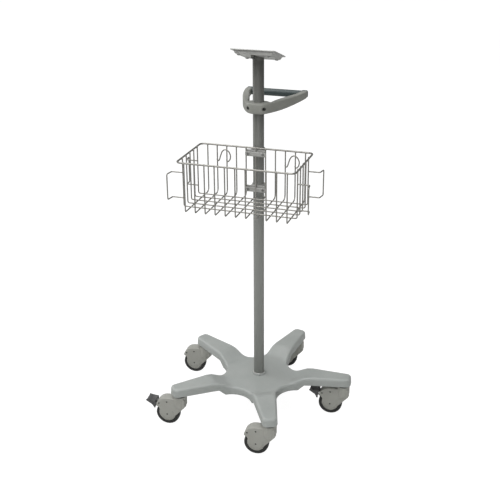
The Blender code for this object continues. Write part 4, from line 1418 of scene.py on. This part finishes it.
@dataclass
class BasketClamps:
    """The two clamps that hold the basket's rear wires against the pole."""

    shop: Workshop
    pole: Vector
    wire_y: float = -0.0255
    wire: float = 0.0019
    bar: tuple[float, float, float] = (0.062, 0.003, 0.012)
    band: tuple[float, float] = (0.003, 0.020)
    bolt_x: float = 0.0222

    def build(self) -> None:
        """Builds both clamps, each at its CAD height."""
        for label in ("upper", "lower"):
            self._clamp(label, middle(f"basket_plate_{label}").z)

    def _clamp(self, label: str, height: float) -> None:
        """Builds one clamp.

        Args:
            label: Which clamp it is.
            height: Height of its middle.
        """
        place = Matrix.Translation(self.pole + Vector((0, 0, height)))
        width, thick, tall = self.bar
        bar_y = self.wire_y - self.wire - SEAT_GAP - thick / 2
        outline = fillet(rectangle(-width / 2, -tall / 2, width / 2, tall / 2), 0.003, 5, closed=True)
        bar = cushion(f"clamp_bar_{label}", outline, -thick / 2, thick / 2, 0.0008, 3,
                      Matrix.Translation((0, bar_y, 0)) @ UPRIGHT)
        self.shop.dress(placed(bar, place), Slot.PLATE, stands_for=[f"basket_plate_{label}"])
        gauge, deep = self.band
        radius = size_of("pole_tube").x / 2 + SEAT_GAP + gauge
        ear_y = self.wire_y + self.wire + SEAT_GAP
        ear_x = self.bolt_x + 0.0065
        neck, rear = 0.0178, ear_y + gauge
        start = -32
        flank = Vector((radius * math.cos(math.radians(start)), radius * math.sin(math.radians(start))))
        plan = fillet([(-flank.x, flank.y), (-neck, rear), (-ear_x, rear), (-ear_x, ear_y), (ear_x, ear_y),
                       (ear_x, rear), (neck, rear), (flank.x, flank.y)], 0.0013, 4)
        plan = plan[1:-1] + arc((0, 0), radius, start, 180 - start, 48)
        band = cushion(f"clamp_band_{label}", plan, -deep / 2, deep / 2, 0.0008, 3)
        self.shop.dress(placed(band, place), Slot.PLATE, stands_for=[f"basket_band_{label}"])
        head, nut = bar_y - thick / 2, ear_y + gauge
        for number, side in enumerate(Side, 1):
            profile = [(0.0040, nut + 0.0032), (0.0040, nut - 0.0005), (0.0022, nut - 0.0005),
                       (0.0022, head + 0.0005), (0.0040, head + 0.0005), (0.0040, head - 0.0010),
                       (0.0034, head - 0.0022), (0.0018, head - 0.0026), (0.0016, head - 0.0012)]
            bolt = lathe(f"clamp_bolt_{label}_{number}", list(reversed(profile)), 28)
            placed(bolt, place @ Matrix.Translation((side.value * self.bolt_x, 0, 0)) @ ALONG_Y)
            self.shop.dress(bolt, Slot.SCREW, stands_for=[f"basket_bolt_{label}_{number}"])


# ------------------------------------------------------------------------------ studio
@dataclass
class Studio:
    """A pale round floor that curves up far away, soft lights and the camera."""

    pole: Vector
    camera_from_pole: Vector = field(default_factory=lambda: Vector((0.74709, -2.33491, 1.60798)))
    yaw: float = math.radians(18.360)
    pitch: float = math.radians(23.475)
    roll: float = math.radians(-0.378)
    lens: float = 63.95

    def build(self) -> None:
        """Builds the floor, the lights and the camera."""
        self._floor()
        self._lights()
        self._camera()

    def _floor(self) -> None:
        """Builds the floor, which is even white to the eye and a mid grey to the object."""
        wall, sides = [tuple(p) for p in arc((6.0, 3.0), 3.0, -90, 0, 16)], 96
        bm = bmesh.new()
        loops = []
        turns = [math.tau * k / sides for k in range(sides)]
        for radius, height in [(0.5, 0.0), (3.0, 0.0)] + wall + [(9.0, 9.0)]:
            loops.append([bm.verts.new((radius * math.cos(t), radius * math.sin(t), height)) for t in turns])
        bm.faces.new(loops[0])
        for first, second in zip(loops, loops[1:]):
            for k in range(sides):
                j = (k + 1) % sides
                bm.faces.new((first[k], first[j], second[j], second[k]))
        floor = mesh_object("studio_floor", bm)
        floor.location = self.pole
        material = bpy.data.materials.new("studio_white")
        material.use_nodes = True
        kit = NodeKit(material.node_tree)
        shader = material.node_tree.nodes["Principled BSDF"]
        shader.inputs["Roughness"].default_value = 0.9
        shader.inputs["Specular IOR Level"].default_value = 0.0
        shader.inputs["Emission Strength"].default_value = 1.0
        seen = kit.add("ShaderNodeLightPath").outputs["Is Camera Ray"]
        place = kit.add("ShaderNodeTexCoord").outputs["Object"]
        tint = kit.mix(kit.noise(place, 2.0), (0.70, 0.70, 0.69), (0.72, 0.72, 0.71))
        kit.link(kit.mix(seen, tint, (0.20, 0.20, 0.20)), shader.inputs["Base Color"])
        kit.link(kit.mix(seen, (0.0, 0.0, 0.0), (0.94, 0.94, 0.94)), shader.inputs["Emission Color"])
        floor.data.materials.append(material)

    def _lights(self) -> None:
        """Sets a large soft light overhead, a weak fill on the left and the even sky."""
        world = bpy.data.worlds.new("studio_sky")
        world.use_nodes = True
        sky = world.node_tree.nodes["Background"]
        sky.inputs["Color"].default_value = (0.98, 0.99, 1.0, 1.0)
        sky.inputs["Strength"].default_value = 0.6
        bpy.context.scene.world = world
        self._area("key", Vector((-0.6, -0.6, 3.0)), Vector((0, 0, 0.5)), 2.6, 62)
        self._area("front_fill", Vector((0.9, -3.4, 1.5)), Vector((0, 0, 0.5)), 2.4, 30)
        self._area("left_strip", Vector((-2.6, 0.3, 1.2)), Vector((0, 0, 0.9)), 1.0, 14)

    def _area(self, name: str, spot: Vector, target: Vector, size: float, power: float) -> None:
        """Adds a square area light.

        Args:
            name: The light's name.
            spot: Where it stands, from the pole.
            target: The point it faces, from the pole.
            size: Length of its side.
            power: Its power in watts.
        """
        light = bpy.data.lights.new(name, "AREA")
        light.size = size
        light.energy = power
        made = linked(name, light)
        made.location = self.pole + spot
        made.rotation_euler = (target - spot).to_track_quat("-Z", "Y").to_euler()

    def _camera(self) -> None:
        """Sets the camera."""
        y, p, r = self.yaw, self.pitch, self.roll
        ahead = Vector((-math.sin(y) * math.cos(p), math.cos(y) * math.cos(p), -math.sin(p)))
        right = Vector((math.cos(y), math.sin(y), 0))
        upward = Vector((-math.sin(y) * math.sin(p), math.cos(y) * math.sin(p), math.cos(p)))
        level, steep = right, upward
        right = level * math.cos(r) + steep * math.sin(r)
        upward = steep * math.cos(r) - level * math.sin(r)
        data = bpy.data.cameras.new("camera")
        data.lens = self.lens
        data.sensor_width = 36.0
        camera = linked("camera", data)
        axes = Matrix((right, upward, -ahead)).transposed().to_4x4()
        camera.matrix_world = Matrix.Translation(self.pole + self.camera_from_pole) @ axes
        bpy.context.scene.camera = camera
        bpy.context.scene.view_settings.view_transform = "Standard"


# ------------------------------------------------------------------------------ the stand
def main() -> None:
    """Builds and dresses the whole stand, then its studio."""
    logging.basicConfig(level=logging.INFO, format="%(name)s: %(message)s")
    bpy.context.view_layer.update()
    centre = middle("pole_tube")
    pole = Vector((centre.x, centre.y, 0))
    stems = [middle(f"caster_{number}_stem") for number in range(1, 6)]
    shop = Workshop()
    BaseCasting(shop, pole, [Vector((stem.x, stem.y, 0)) for stem in stems]).build()
    Pole(shop, pole).build()
    Casters(shop, pole).build()
    MonitorPlate(shop, pole).build()
    Handle(shop, pole).build()
    Basket(shop, pole).build()
    BasketClamps(shop, pole).build()
    for node in ("pole_foot_insert", "pole_foot_bolt"):
        shop.refinish(node, Slot.SCREW)
    Studio(pole).build()


if __name__ == "__main__":
    main()
